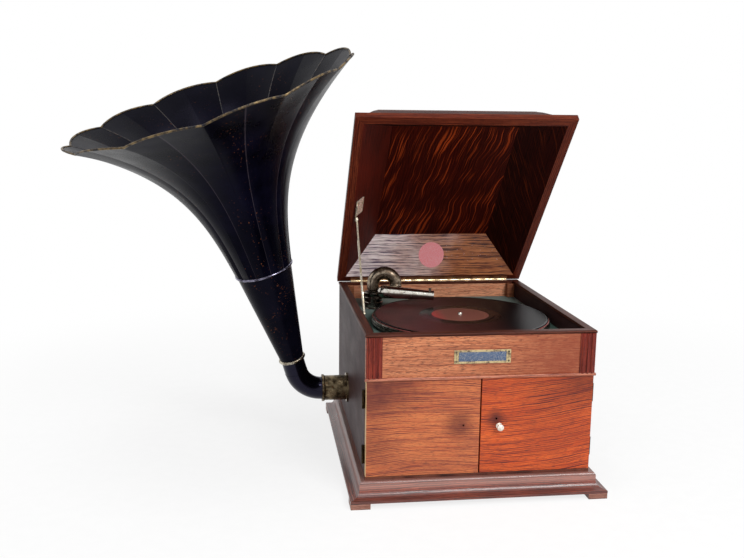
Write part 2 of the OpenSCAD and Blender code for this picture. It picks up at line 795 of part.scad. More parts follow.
module duct_solid(r, top, end_x, end_r) {
    translate([arm_x, arm_y, horn_z + duct_a]) cylinder(h = top - horn_z - duct_a, r = r);
    translate([arm_x, arm_y - duct_a, horn_z + duct_a]) rotate([0, 90, 0])
        rotate_extrude(angle = 90) translate([duct_a, 0]) circle(r = r);
    translate([arm_x - duct_b, arm_y - duct_a, horn_z]) rotate([0, 0, -90])
        rotate_extrude(angle = 90) translate([duct_b, 0]) circle(r = r);
    translate([end_x, horn_y, horn_z]) rotate([0, 90, 0])
        cylinder(h = arm_x - duct_b - end_x, r = end_r);
}

module sound_duct() {
    color("#55524c") difference() {
        union() {
            duct_solid(duct_r, board_z0 - 12, -hw - 8, duct_r);
            translate([arm_x, arm_y, board_z0 - 12]) cylinder(h = 12, r = duct_r);
            translate([arm_x, arm_y, board_z0 - 3]) cylinder(h = 3, r = 24);
            translate([-hw - 8, horn_y, horn_z]) rotate([0, 90, 0])
                cylinder(h = 18, r = elbow_r - tube_wall - part_gap);
        }
        duct_solid(duct_in, board_z0 - 12.5, -hw - 9, duct_in);
        translate([arm_x, arm_y, board_z0 - 13]) cylinder(h = 5.5, r = duct_in);
        translate([arm_x, arm_y, board_z0 - 8.5]) cylinder(h = 10, r = 12.05);
    }
}

// Horn

elbow_t = elbow_bend * tan((90 - horn_lean) / 2);
collar_out = horn_x + elbow_t + 0.6;

module horn_collar() {
    color("#9a7b45") translate([0, horn_y, horn_z]) rotate([0, 90, 0]) difference() {
        union() {
            translate([0, 0, collar_out]) cylinder(h = -inner_x + 10 - collar_out, r = 22.6);
            translate([0, 0, collar_out]) cylinder(h = 3.4, r = 24.7);
            translate([0, 0, collar_out + 3.4]) cylinder(h = 2, r1 = 24.7, r2 = 22.6);
            translate([0, 0, -hw - 3]) cylinder(h = 3, r = 27);
        }
        translate([0, 0, collar_out - 1]) cylinder(h = 100, r = elbow_r + run_fit);
    }
}

module collar_nut() {
    color("#8a6f3f") translate([-inner_x, horn_y, horn_z]) rotate([0, 90, 0]) difference() {
        cylinder(h = 6, r = 28);
        translate([0, 0, -1]) cylinder(h = 8, r = 22.6);
        for (k = [0 : 3]) rotate([0, 0, 90 * k + 45]) translate([28, 0, -1])
            cylinder(h = 8, r = 2.5);
    }
}

module horn_frame() {
    translate([horn_x, horn_y, horn_z]) rotate([horn_turn, 0, 0]) children();
}

module elbow_solid(r, inner_end) {
    beta = 90 - horn_lean;
    tang = elbow_t;
    translate([tang, 0, elbow_bend]) rotate([90, 0, 0]) rotate([0, 0, -90 - beta])
        rotate_extrude(angle = beta) translate([elbow_bend, 0]) circle(r = r);
    translate([tang, 0, 0]) rotate([0, 90, 0]) cylinder(h = inner_end - tang, r = r);
    rotate([0, -horn_lean, 0]) translate([0, 0, tang]) cylinder(h = 70 - tang, r = r);
}

module horn_elbow() {
    color("#1a1a22") horn_frame() difference() {
        union() {
            elbow_solid(elbow_r, -inner_x + 4 - horn_x);
            translate([elbow_t - 0.9, 0, 0]) rotate([0, 90, 0]) cylinder(h = 1.2, r = elbow_r + 0.3);
            rotate([0, -horn_lean, 0]) translate([0, 0, elbow_t - 0.6])
                cylinder(h = 1.2, r = elbow_r + 0.3);
            rotate([0, -horn_lean, 0]) rotate_extrude() translate([elbow_r + 1, 64])
                circle(r = 2.9);
        }
        difference() {
            elbow_solid(elbow_r - tube_wall, -inner_x + 5 - horn_x);
            rotate([0, -horn_lean, 0]) translate([0, 0, 70]) cylinder(h = 10, r = 30);
        }
        rotate([0, -horn_lean, 0]) translate([0, 0, 69]) cylinder(h = 10, r = elbow_r - tube_wall);
    }
}

cone_a1 = 243.5;
cone_r1 = 49.2;

module horn_cone() {
    color("#1c1b26") horn_frame() rotate([0, -horn_lean, 0]) rotate_extrude($fn = 96) polygon([
        [elbow_r, 66.8], [elbow_r + horn_wall, 66.8], [cone_r1 - 0.8, 238.8],
        [cone_r1 + 0.6, 239.4], [cone_r1 + 1.5, 240.6], [cone_r1 + 1.6, 242],
        [cone_r1 + 1, 243], [cone_r1 + 0.3, cone_a1], [cone_r1 - horn_wall, cone_a1],
        [elbow_r, 70]
    ]);
}

// Petal bell: a closed profile loop swept round the axis, pinched at the seams
bell_rows = 22;
petal_steps = 8;
bell_n = petals * petal_steps;
bell_len = mouth_a - cone_a1;
flare_pow = 3.2;
flare_slope = 0.17;
bead_r = 1.7;
bead_steps = 6;
loop_n = 2 * bell_rows + bead_steps;

function row_x(i) = bell_len * (1 - pow(1 - i / (bell_rows - 1), 1.5));
function petal_p(phi) = 1 - pow(abs((phi * petals / 360) % 1 - 0.5) * 2, 2);
function flare_r(x) = cone_r1 + flare_slope * x
    + (mouth_r - cone_r1 - flare_slope * bell_len) * pow(x / bell_len, flare_pow);
function bell_rr(x, phi) = flare_r(x) + petal_depth * pow(x / bell_len, 1.2) * petal_p(phi);
function bell_aa(x, phi) = cone_a1 + x + 7 * pow(x / bell_len, 4) * petal_p(phi)
    + 10.5 * cos(phi) * pow(x / bell_len, 3);
function bell_tan(x, phi) = let (
    dr = bell_rr(x + 0.5, phi) - bell_rr(x - 0.5, phi),
    da = bell_aa(x + 0.5, phi) - bell_aa(x - 0.5, phi),
    n = sqrt(dr * dr + da * da)
) [dr / n, da / n];
function bell_pt(x, phi, along, out) = let (t = bell_tan(max(x, 1), phi)) [
    bell_rr(x, phi) + t[0] * along + t[1] * out,
    bell_aa(x, phi) + t[1] * along - (x < 1 ? 0 : t[0]) * out
];
function bell_loop(phi) = concat(
    [for (i = [0 : bell_rows - 1]) bell_pt(row_x(i), phi, 0, -horn_wall)],
    [for (k = [0 : bead_steps - 1]) let (w = -20 + k * 220 / (bead_steps - 1))
        bell_pt(bell_len, phi, bead_r * (0.6 + sin(w)), -horn_wall / 2 - bead_r * cos(w))],
    [for (i = [bell_rows - 1 : -1 : 0]) bell_pt(row_x(i), phi, 0, 0)]
);
bell_pts = [
    for (j = [0 : bell_n - 1]) let (phi = j * 360 / bell_n)
        for (q = bell_loop(phi)) [q[0] * cos(phi), q[0] * sin(phi), q[1]]
];
function bell_id(j, i) = (j % bell_n) * loop_n + (i % loop_n);
bell_faces = [
    for (j = [0 : bell_n - 1], i = [0 : loop_n - 1], h = [0, 1])
        h == 0 ? [bell_id(j, i), bell_id(j + 1, i), bell_id(j + 1, i + 1)]
            : [bell_id(j, i), bell_id(j + 1, i + 1), bell_id(j, i + 1)]
];

module horn_bell() {
    color("#1b1a28") horn_frame() rotate([0, -horn_lean, 0])
        polyhedron(points = bell_pts, faces = bell_faces, convexity = 6);
}

// Motor

frame_x0 = sx - 113.5;
frame_x1 = sx + 42.5;
frame_y0 = sy - 53;
frame_y1 = sy + 51;
motor_bolt_xy = [[frame_x0 + 8, frame_y0 + 8], [frame_x0 + 8, frame_y1 - 8],
    [frame_x0 + 120, frame_y0 + 6], [frame_x1 - 8, frame_y1 - 8]];
worm_pitch = 2 * PI * worm_wheel_r / worm_teeth;
worm_len = 16;
worm_starts = 4;
lever_x = 45;
lever_y = sy - 43;
lever_end_y = front_in + 15;
lever_z = plate_top - 10;
brake_az = -50;
brake_x = sx + (platter_r + 8) * cos(brake_az) - 26 * sin(brake_az);
brake_y = sy + (platter_r + 8) * sin(brake_az) + 26 * cos(brake_az);
pawl_x = bx + 12;
pawl_y = by + 20.8;
mid_r = 2.5;
gov_r = 1.5;

module motor_frame() {
    color("#8c8a84") difference() {
        union() {
            for (z = [plate_low, plate_top - plate_t]) translate([frame_x0, frame_y0, z])
                cube([frame_x1 - frame_x0, frame_y1 - frame_y0, plate_t]);
            for (p = motor_bolt_xy) translate([p[0], p[1], plate_low])
                cylinder(h = board_z0 - plate_low, r = 4.5);
            for (y = [frame_y0 + 3, frame_y1 - 10]) translate([gov_x - 4, y, gov_z - 5])
                cube([8, 3, plate_top - plate_t + 6 - gov_z]);
            for (x = [sx - 37.5, sx + 30.5]) translate([x, by - 9, wind_z - 8])
                cube([3, 18, plate_low - wind_z + 8]);
            translate([lever_x, lever_y, plate_top - 14]) cylinder(h = 14, r = 2.5);
            translate([lever_x, lever_y, plate_top - 14]) cylinder(h = 1.6, r = 3.4);
            translate([pawl_x, pawl_y, plate_low - 5.2]) cylinder(h = 6, r = 2);
            translate([pawl_x, pawl_y, plate_low - 6.4]) cylinder(h = 1.3, r = 3.4);
        }
        for (p = motor_bolt_xy) translate([p[0], p[1], plate_top - 22]) cylinder(h = 40, r = 2.1);
        translate([sx, sy, plate_low + 10]) cylinder(h = 80, r = 3 + run_fit);
        translate([sx, sy, plate_low - 1]) cylinder(h = 10, r = 1.6 + run_fit);
        translate([bx, by, plate_low - 1]) cylinder(h = 80, r = arbor_r + run_fit);
        translate([mid_x, mid_y, plate_low - 1]) cylinder(h = 80, r = mid_r + run_fit);
        translate([gov_x, frame_y0 - 1, gov_z]) rotate([-90, 0, 0])
            cylinder(h = 120, r = gov_r + run_fit);
        translate([sx - 47.5, by, wind_z]) rotate([0, 90, 0]) cylinder(h = 90, r = 4 + run_fit);
    }
}

module motor_bolts() {
    color("#77756f") for (p = motor_bolt_xy) translate([p[0], p[1], 0]) {
        translate([0, 0, plate_top - 19]) cylinder(h = board_z - plate_top + 19, r = 2.1);
        difference() {
            translate([0, 0, board_z]) cylinder(h = 2.4, r = 4.4);
            translate([-5, -0.5, board_z + 1.4]) cube([10, 1, 2]);
        }
    }
}

module barrel() {
    color("#a8823c") translate([bx, by, 0]) difference() {
        union() {
            translate([0, 0, plate_low + 12]) cylinder(h = 35, r = barrel_r);
            translate([0, 0, plate_low + 47]) gear(barrel_teeth, module_a, 3, barrel_az - 180);
        }
        translate([0, 0, plate_low + 14]) cylinder(h = 31, r = barrel_r - 1.5);
        translate([0, 0, plate_low + 10]) cylinder(h = 50, r = arbor_r + run_fit);
    }
}

spring_r0 = arbor_r + 0.6;
spring_r1 = barrel_r - 2;
spring_t = 0.6;
spring_n = 28 * spring_turns;
function spring_r(k) = spring_r0 + (spring_r1 - spring_t - spring_r0) * k / spring_n;

module mainspring() {
    color("#5e5b58") translate([bx, by, plate_low + 17]) linear_extrude(25) polygon(concat(
        [for (k = [0 : spring_n]) let (w = k * 360 / 28)
            [spring_r(k) * cos(w), spring_r(k) * sin(w)]],
        [for (k = [spring_n : -1 : 0]) let (w = k * 360 / 28)
            [(spring_r(k) + spring_t) * cos(w), (spring_r(k) + spring_t) * sin(w)]]
    ));
}

function saw_pts(n, r0, r1) = [for (i = [0 : n - 1], q = [0, 1])
    q == 0 ? [r1 * cos(i * 360 / n), r1 * sin(i * 360 / n)]
        : [r0 * cos((i + 0.12) * 360 / n), r0 * sin((i + 0.12) * 360 / n)]];

module winding_arbor() {
    color("#b9b4aa") translate([bx, by, 0]) {
        translate([0, 0, wind_z + 6]) cylinder(h = plate_top + 1 - wind_z - 6, r = arbor_r);
        translate([0, 0, plate_low - 4.5]) linear_extrude(3) polygon(saw_pts(18, 13, 15));
        translate([0, 0, wind_z + bevel_r + 1]) mirror([0, 0, 1])
            linear_extrude(height = 3.15, scale = 0.65) polygon(tooth_pts(36, 1));
    }
}

module winding_shaft() {
    color("#b9b4aa") translate([0, by, wind_z]) rotate([0, 90, 0]) difference() {
        union() {
            translate([0, 0, bx + 11]) cylinder(h = hw - bx - 11, r = 4);
            translate([0, 0, bx + crown_r]) mirror([0, 0, 1])
                rotate([0, 0, 10]) linear_extrude(height = 6.3, scale = 0.65)
                polygon(tooth_pts(18, 1));
            translate([0, 0, hw - 24]) cylinder(h = 28, r = 8 - part_gap);
        }
        translate([0, 0, hw - 18]) cylinder(h = 30, r = 3);
    }
}

module pawl() {
    color("#77756f") translate([pawl_x, pawl_y, plate_low - 4.6]) difference() {
        union() {
            cylinder(h = 3.2, r = 4);
            linear_extrude(3.2) polygon([[-3.4, -2], [0.9, -12.4], [2.6, -12.8], [3.4, -2]]);
        }
        translate([0, 0, -1]) cylinder(h = 6, r = 2 + run_fit);
    }
}

module mid_arbor() {
    color("#b08a3a") translate([mid_x, mid_y, 0]) {
        translate([0, 0, plate_low]) cylinder(h = plate_top - plate_low + 1, r = mid_r);
        translate([0, 0, plate_low + 45.5]) gear(pinion_teeth, module_a, 5.5, barrel_az + 180 / pinion_teeth);
        translate([0, 0, plate_low + 52]) gear(wheel_teeth, module_b, 2.5, mid_az - 180);
    }
}

module governor() {
    $fn = 32;
    color("#b08a3a") translate([gov_x, 0, gov_z]) rotate([90, 0, 0]) {
        translate([0, 0, -frame_y1 + 6]) cylinder(h = frame_y1 - frame_y0 - 8, r = gov_r);
        translate([0, 0, -sy]) for (s = [0, 1]) mirror([0, 0, s])
            linear_extrude(height = worm_len / 2, slices = 12,
                twist = (s == 0 ? -360 : 360) * worm_len / 2 / worm_pitch / worm_starts)
                polygon([for (k = [0 : 23]) (2.8 + 0.9 * cos(15 * k * worm_starts))
                    * [cos(15 * k), sin(15 * k)]]);
        translate([0, 0, 38]) cylinder(h = 4, r = 4);
        translate([0, 0, 58]) cylinder(h = 6, r = 3.5);
        translate([0, 0, 62.5]) cylinder(h = 1.5, r = 11);
        for (k = [0 : 2]) rotate([0, 0, 120 * k + 30]) {
            rotate([90, 0, 0]) translate([0, 0, -2]) linear_extrude(4) polygon([
                [3, 39], [4.6, 43], [6.6, 47], [7, 50], [6.6, 53], [4.6, 57], [3, 61],
                [2.4, 61], [4, 57], [6, 53], [6.4, 50], [6, 47], [4, 43], [2.4, 39]
            ]);
            translate([8.2, 0, 48]) cylinder(h = 4, r = 2.6);
        }
    }
}

module speed_lever() {
    color("#77756f") translate([lever_x, lever_y, 0]) difference() {
        union() {
            translate([0, 0, lever_z]) cylinder(h = 3, r = 5);
            translate([0, 0, lever_z]) linear_extrude(3) polygon([[-4, -2], [4, -2],
                [28, lever_end_y - lever_y + 1], [22, lever_end_y - lever_y - 1]]);
            translate([25, lever_end_y - lever_y, lever_z])
                cylinder(h = board_z + 6 - lever_z, r = 2.5);
            translate([25, lever_end_y - lever_y, board_z + 3]) cylinder(h = 5, r = 4.5);
            translate([-7.6, -1.5, gov_z - 3]) cube([4, 4, lever_z + 6 - gov_z]);
            translate([-5, 2, gov_z + 1]) rotate([-90, 0, 0]) cylinder(h = 3.25, r = 3);
        }
        translate([0, 0, lever_z - 7]) cylinder(h = 20, r = 2.5 + run_fit);
    }
}

module brake_lever() {
    pad_w = atan2(sy + (platter_r + 4) * sin(brake_az) - brake_y,
        sx + (platter_r + 4) * cos(brake_az) - brake_x);
    color("#9a8a5a") translate([brake_x, brake_y, 0]) rotate([0, 0, pad_w]) {
        translate([-18, -3.5, board_z + 2]) cube([44, 7, 2.5]);
        translate([0, 0, board_z0 - 2.8]) cylinder(h = board_z + 7 - board_z0, r = 3);
        translate([0, 0, board_z0 - 2.8]) cylinder(h = 2.6, r = 6);
        translate([0, 0, board_z + 0.2]) cylinder(h = 6, r = 5.5);
        translate([-18, 0, board_z + 2]) cylinder(h = 8, r = 4);
        translate([26.3, 0, board_z + 2]) cylinder(h = 10, r = 2.5);
    }
}

plinth_moulding();
corner_feet();
bottom_board();
side_left();
side_right();
back_panel();
rear_posts();
board_cleats();
front_rail();
pilasters();
rail_strip();
rim_moulding();
motor_board();
baize_cover();
nameplate();
nameplate_screws();
door_left();
door_right();
door_knob();
door_side_leaves();
door_left_leaves();
door_right_leaves();
lid_walls();
lid_top_board();
lid_ceiling();
lid_sticker();
lid_hinge_leaf();
box_hinge_leaf();
lid_hinge_screws();
box_hinge_screws();
stay_bracket();
stay_rod();
stay_track();
platter();
platter_felt();
record();
record_label();
turntable_spindle();
tonearm_base();
tonearm_cap();
tonearm_neck();
arm_tube();
arm_screw();
sound_duct();
horn_collar();
collar_nut();
horn_elbow();
horn_cone();
horn_bell();
motor_frame();
motor_bolts();
barrel();
mainspring();
winding_arbor();
winding_shaft();
pawl();
mid_arbor();
governor();
speed_lever();
brake_lever();
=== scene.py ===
"""Looks for a table gramophone with a sloping lid and a petal horn, laid out as an add-on."""

import math

import bmesh
import bpy
import numpy as np
from mathutils import Matrix, Vector


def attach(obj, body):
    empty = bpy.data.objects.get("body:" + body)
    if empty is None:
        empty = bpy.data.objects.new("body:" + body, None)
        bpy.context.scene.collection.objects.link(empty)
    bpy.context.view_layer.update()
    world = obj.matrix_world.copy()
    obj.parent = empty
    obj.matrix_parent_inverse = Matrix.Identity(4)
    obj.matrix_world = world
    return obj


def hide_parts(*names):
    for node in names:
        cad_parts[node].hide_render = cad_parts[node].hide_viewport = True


bl_info = {
    "name": "Petal-horn gramophone",
    "version": (1, 0, 0),
    "blender": (4, 5, 0),
    "location": "View3D > Sidebar > Gramophone",
    "description": "Dresses the packed gramophone: oak case, petal horn, turntable and fittings",
    "category": "Object",
}

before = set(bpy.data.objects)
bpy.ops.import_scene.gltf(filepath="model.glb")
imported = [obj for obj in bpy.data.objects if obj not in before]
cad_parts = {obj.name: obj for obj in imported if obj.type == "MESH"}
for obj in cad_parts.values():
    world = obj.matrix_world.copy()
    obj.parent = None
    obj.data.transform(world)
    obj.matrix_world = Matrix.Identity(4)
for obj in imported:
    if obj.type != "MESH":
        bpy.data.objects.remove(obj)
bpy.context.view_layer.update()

MM = 0.001

# Lengths are in millimetres, the same as in the part's source
HALF_W = 182.0
HALF_D = 217.0
BODY_H = 272.0
RIM_Z0 = 267.0
RAIL_Z = 203.0
FOOT_H = 9.2
FLOOR_Z = 30.0
LID_Z = 272.5
PIN_Z = 272.25
LID_HW = 186.0
LID_D = 440.0
RIM_FACE = 15.4
SLOPE_IN = 74.4
HOLLOW = 59.0
LID_OPEN = math.radians(47.3)
DISC = (7.5, -27.0)
RECORD_TOP = 257.0
KNOB_AT = (30.4, -HALF_D, 119.8)
HINGE_LEN = 319.0
KNUCKLES = 13
SCREW_STEP = 48.333
FLOOR_HALF = 9000
HORN_AT = (-266.1, 53.0, 105.1)
HORN_TURN = math.radians(8.76)
HORN_LEAN = math.radians(16.05)

# The photograph's camera: place in metres; yaw, pitch and roll in degrees; widths in pixels
CAMERA_AT = (-0.347515, -1.516453, 0.602682)
CAMERA_TURNS = (7.591, 10.572, 0.665)
FOCAL_PX = 890.0
PHOTO_PX = 744.0
SENSOR_MM = 36.0


def shift(x, y, z):
    return Matrix.Translation(Vector((x, y, z)))


def turn(angle, axis):
    return Matrix.Rotation(angle, 4, axis)


OPENED = shift(0, HALF_D, PIN_Z) @ turn(-LID_OPEN, "X") @ shift(0, -HALF_D, -PIN_Z)
BELL_FRAME = shift(*HORN_AT) @ turn(HORN_TURN, "X") @ turn(-HORN_LEAN, "Y")
DISC_FRAME = shift(*DISC, 0)


# Colour and node helpers


def rgb(text):
    """An sRGB hex colour as linear red, green, blue, alpha."""
    out = []
    for i in (1, 3, 5):
        c = int(text[i:i + 2], 16) / 255
        out.append(c / 12.92 if c <= 0.04045 else ((c + 0.055) / 1.055) ** 2.4)
    return (*out, 1.0)


class Out:
    """A node's output. Sums, products and powers of outputs become math nodes."""

    def __init__(self, socket):
        self.socket = socket

    def __getitem__(self, key):
        """Another output of the same node."""
        return Out(self.socket.node.outputs[key])

    def reckon(self, operation, a, b):
        kind = "ShaderNodeVectorMath" if isinstance(b, tuple) else "ShaderNodeMath"
        return add(self.socket.id_data, kind, {0: a, 1: b}, operation=operation)

    def __add__(self, other):
        return self.reckon("ADD", self, other)

    def __sub__(self, other):
        return self.reckon("SUBTRACT", self, other)

    def __rsub__(self, other):
        return self.reckon("SUBTRACT", other, self)

    def __mul__(self, other):
        return self.reckon("MULTIPLY", self, other)

    def __truediv__(self, other):
        return self.reckon("DIVIDE", self, other)

    def __pow__(self, other):
        return self.reckon("POWER", self, other)


def set_inputs(node, inputs):
    """Sets a node's inputs; an output is linked and a hex colour is turned linear."""
    for key, value in inputs.items():
        value = getattr(value, "socket", value)
        if isinstance(value, bpy.types.NodeSocket):
            node.id_data.links.new(value, node.inputs[key])
        else:
            node.inputs[key].default_value = rgb(value) if isinstance(value, str) else value


def add(tree, kind, inputs=None, stops=(), **settings):
    """A node with its settings, links and colour stops; gives its first output in use."""
    node = tree.nodes.new(kind)
    for key, value in settings.items():
        setattr(node, key, value)
    set_inputs(node, inputs or {})
    for i, (place, colour) in enumerate(stops):
        band = node.color_ramp.elements
        stop = band[i] if i < len(band) else band.new(place)
        stop.position = place
        stop.color = rgb(colour) if isinstance(colour, str) else (colour, colour, colour, 1)
    return next((Out(socket) for socket in node.outputs if socket.enabled), node)


def new_material(name):
    mat = bpy.data.materials.new(name)
    mat.use_nodes = True
    return mat, mat.node_tree, mat.node_tree.nodes["Principled BSDF"]


def laid_over(tree, base, colour, pattern, stops):
    """The base with a colour laid over it where a pattern is strong."""
    mask = add(tree, "ShaderNodeValToRGB", {0: pattern}, stops)
    return add(tree, "ShaderNodeMix", {0: mask, 6: base, 7: colour}, data_type="RGBA")


# Wood


def board_coords(tree, order):
    """Metres along the grain, across it and into the board."""
    coords = add(tree, "ShaderNodeTexCoord")
    if order == "UV":
        return coords["UV"]
    parts = add(tree, "ShaderNodeSeparateXYZ", {0: coords["Object"]})
    return add(tree, "ShaderNodeCombineXYZ", {i: parts[c] for i, c in enumerate(order)})


def stained(tree, base, colour, spots):
    """Darkens the wood where hands have been, by (x, y, z, reach, amount) in millimetres."""
    coords = add(tree, "ShaderNodeTexCoord")["Object"]
    mottle = add(tree, "ShaderNodeTexNoise", {
        "Vector": coords, "Scale": 60.0, "Detail": 3.0, "Roughness": 0.6})
    for x, y, z, reach, amount in spots:
        away = add(tree, "ShaderNodeVectorMath", {0: coords, 1: (x * MM, y * MM, z * MM)},
                   operation="DISTANCE")
        mask = add(tree, "ShaderNodeMapRange", {
            "Value": away, "From Min": reach * 0.1 * MM, "From Max": reach * MM,
            "To Min": amount, "To Max": 0.0}, interpolation_type="SMOOTHSTEP")
        mask = add(tree, "ShaderNodeMath", {0: mask, 1: mottle + 0.5}, operation="MULTIPLY",
                   use_clamp=True)
        base = add(tree, "ShaderNodeMix", {0: mask, 6: base, 7: colour}, data_type="RGBA")
    return base


def quartered(tree, base, raw, rays):
    """Medullary rays of a quartered board: wavy slivers of bare wood."""
    colour, amount, width_mm, length_mm, slant = rays
    x, y, z = add(tree, "ShaderNodeSeparateXYZ", {0: raw})
    sway = add(tree, "ShaderNodeTexNoise", {
        "Vector": raw * (11.0, 7.0, 7.0), "Scale": 1.0, "Detail": 2.5})
    where = add(tree, "ShaderNodeCombineXYZ", {0: x, 1: y + sway * 0.030 + x * slant, 2: z})
    ray = add(tree, "ShaderNodeTexNoise", {
        "Vector": where * (1000 / length_mm, 1000 / width_mm, 4.0), "Scale": 1.0,
        "Detail": 0.6, "Roughness": 0.4})
    thread = add(tree, "ShaderNodeTexNoise", {
        "Vector": where * (2000 / length_mm, 2600 / width_mm, 4.0), "Scale": 1.0,
        "Detail": 0.5, "Roughness": 0.4})
    gate = add(tree, "ShaderNodeTexNoise", {
        "Vector": raw * (12.0, 15.0, 5.0), "Scale": 1.0, "Detail": 1.5})
    mask = add(tree, "ShaderNodeMath", {
        0: add(tree, "ShaderNodeValToRGB", {0: ray}, [(0.59, 0.0), (0.66, 1.0)]),
        1: add(tree, "ShaderNodeValToRGB", {0: thread}, [(0.60, 0.0), (0.70, 0.35)])},
        operation="ADD", use_clamp=True)
    mask = mask * add(tree, "ShaderNodeValToRGB", {0: gate}, [(0.34, 0.2), (0.60, 1.0)])
    return add(tree, "ShaderNodeMix", {0: mask * amount, 6: base, 7: colour}, data_type="RGBA")


def oak(name, dark, body, light, order, line_mm, curl, patch, at=(0.0, 0.0, 0.0),
        arch=(0.0, 0.0), patch_amount=0.4, pore="#2a120e", pores=0.5, gloss=0.42, level=0.3,
        rays=None, bloom=None, spots=None, edge=None, shade=(), contrast=1.0, relief=0.6):
    """Fumed and stained oak, its open grain filled with dark wax."""
    mat, tree, shader = new_material(name)
    raw = board_coords(tree, order) + at
    # growth lines bend a few millimetres over a hand's width, and arch on a plain-sawn board
    slow = add(tree, "ShaderNodeTexNoise", {
        "Vector": raw * (5.0, 7.0, 5.0), "Scale": 1.0, "Detail": 2.0})
    quick = add(tree, "ShaderNodeTexNoise", {
        "Vector": raw * (38.0, 26.0, 20.0), "Scale": 1.0, "Detail": 2.0})
    x, y, z = add(tree, "ShaderNodeSeparateXYZ", {0: raw})
    run = x - (arch[0] + at[0])
    across = y + (run * run * arch[1] + slow * (3 * curl) + quick * 0.0022)
    vec = add(tree, "ShaderNodeCombineXYZ", {0: x, 1: across, 2: z})
    streaks = add(tree, "ShaderNodeTexNoise", {
        "Vector": vec * (14.0, 1250 / line_mm, 12.0), "Scale": 1.0, "Detail": 2.5,
        "Roughness": 0.6})
    bands = add(tree, "ShaderNodeTexNoise", {
        "Vector": vec * (3.0, 160 / line_mm, 6.0), "Scale": 1.0, "Detail": 2.0})
    tone = add(tree, "ShaderNodeTexNoise", {
        "Vector": raw * (9.0, 16.0, 6.0), "Scale": 1.0, "Detail": 4.0, "Roughness": 0.6})
    dash = add(tree, "ShaderNodeTexNoise", {
        "Vector": vec * (110.0, 950.0, 70.0), "Scale": 1.0, "Detail": 2.0, "Roughness": 0.6})
    # yearly lines, evenly spaced but for a slow drift, over the finer streaks
    yearly = add(tree, "ShaderNodeMath", {
        0: across * (6283 / (line_mm * 1.15)) + bands * 14.0}, operation="SINE")
    lines = streaks * 0.6 + (yearly * 0.075 + 0.2) + (bands - 0.5) * 0.12
    spread = 0.11 / contrast
    base = add(tree, "ShaderNodeValToRGB", {0: lines}, [
        (0.46 - spread, dark), (0.46, body), (0.50 + spread, light)])
    base = laid_over(tree, base, patch, tone, [(0.44, 0.0), (0.66, patch_amount)])
    mask = add(tree, "ShaderNodeValToRGB", {0: dash}, [(0.53, 0.0), (0.62, 1.0)]) * pores
    base = add(tree, "ShaderNodeMix", {0: mask, 6: base, 7: pore}, data_type="RGBA")
    if rays:
        base = quartered(tree, base, raw, rays)
    if bloom:
        # painted sheen: a pale haze laid in patches over part of the board, where light would
        # glance off it
        colour, amount = bloom
        haze = add(tree, "ShaderNodeTexNoise", {
            "Vector": raw * (9.0, 14.0, 9.0), "Scale": 1.0, "Detail": 4.0, "Roughness": 0.65})
        base = laid_over(tree, base, colour, haze, [(0.34, 0.25 * amount), (0.66, amount)])
    if spots:
        base = stained(tree, base, *spots)
    if edge or shade:
        place = add(tree, "ShaderNodeSeparateXYZ", {0: add(tree, "ShaderNodeTexCoord")["Object"]})
    if edge:
        # a pale line along the corner of the board: worn stain, and a painted highlight on the
        # edge
        corner, reach, colour = edge
        away = add(tree, "ShaderNodeMath", {0: place["X"] - corner * MM}, operation="ABSOLUTE")
        mask = add(tree, "ShaderNodeMath", {0: away, 1: (dash + 0.5) * (reach * MM)},
                   operation="LESS_THAN")
        base = add(tree, "ShaderNodeMix", {0: mask * 0.85, 6: base, 7: colour},
                   data_type="RGBA")
    for axis, start, end, amount, colour in shade:
        # colour laid past a line across the X, Y or Z axis: painted shade, a painted highlight, or
        # a darker band
        mask = add(tree, "ShaderNodeMapRange", {
            "Value": place[axis], "From Min": start * MM, "From Max": end * MM, "To Min": 0.0,
            "To Max": amount})
        base = add(tree, "ShaderNodeMix", {0: mask, 6: base, 7: colour}, data_type="RGBA")
    set_inputs(shader, {
        "Base Color": base, "Specular IOR Level": level,
        "Roughness": add(tree, "ShaderNodeMapRange", {
            "Value": tone, "To Min": gloss - 0.08, "To Max": gloss + 0.16}),
        "Normal": add(tree, "ShaderNodeBump", {
            "Height": lines - dash * 0.6, "Strength": relief, "Distance": 0.35 * MM})})
    return mat


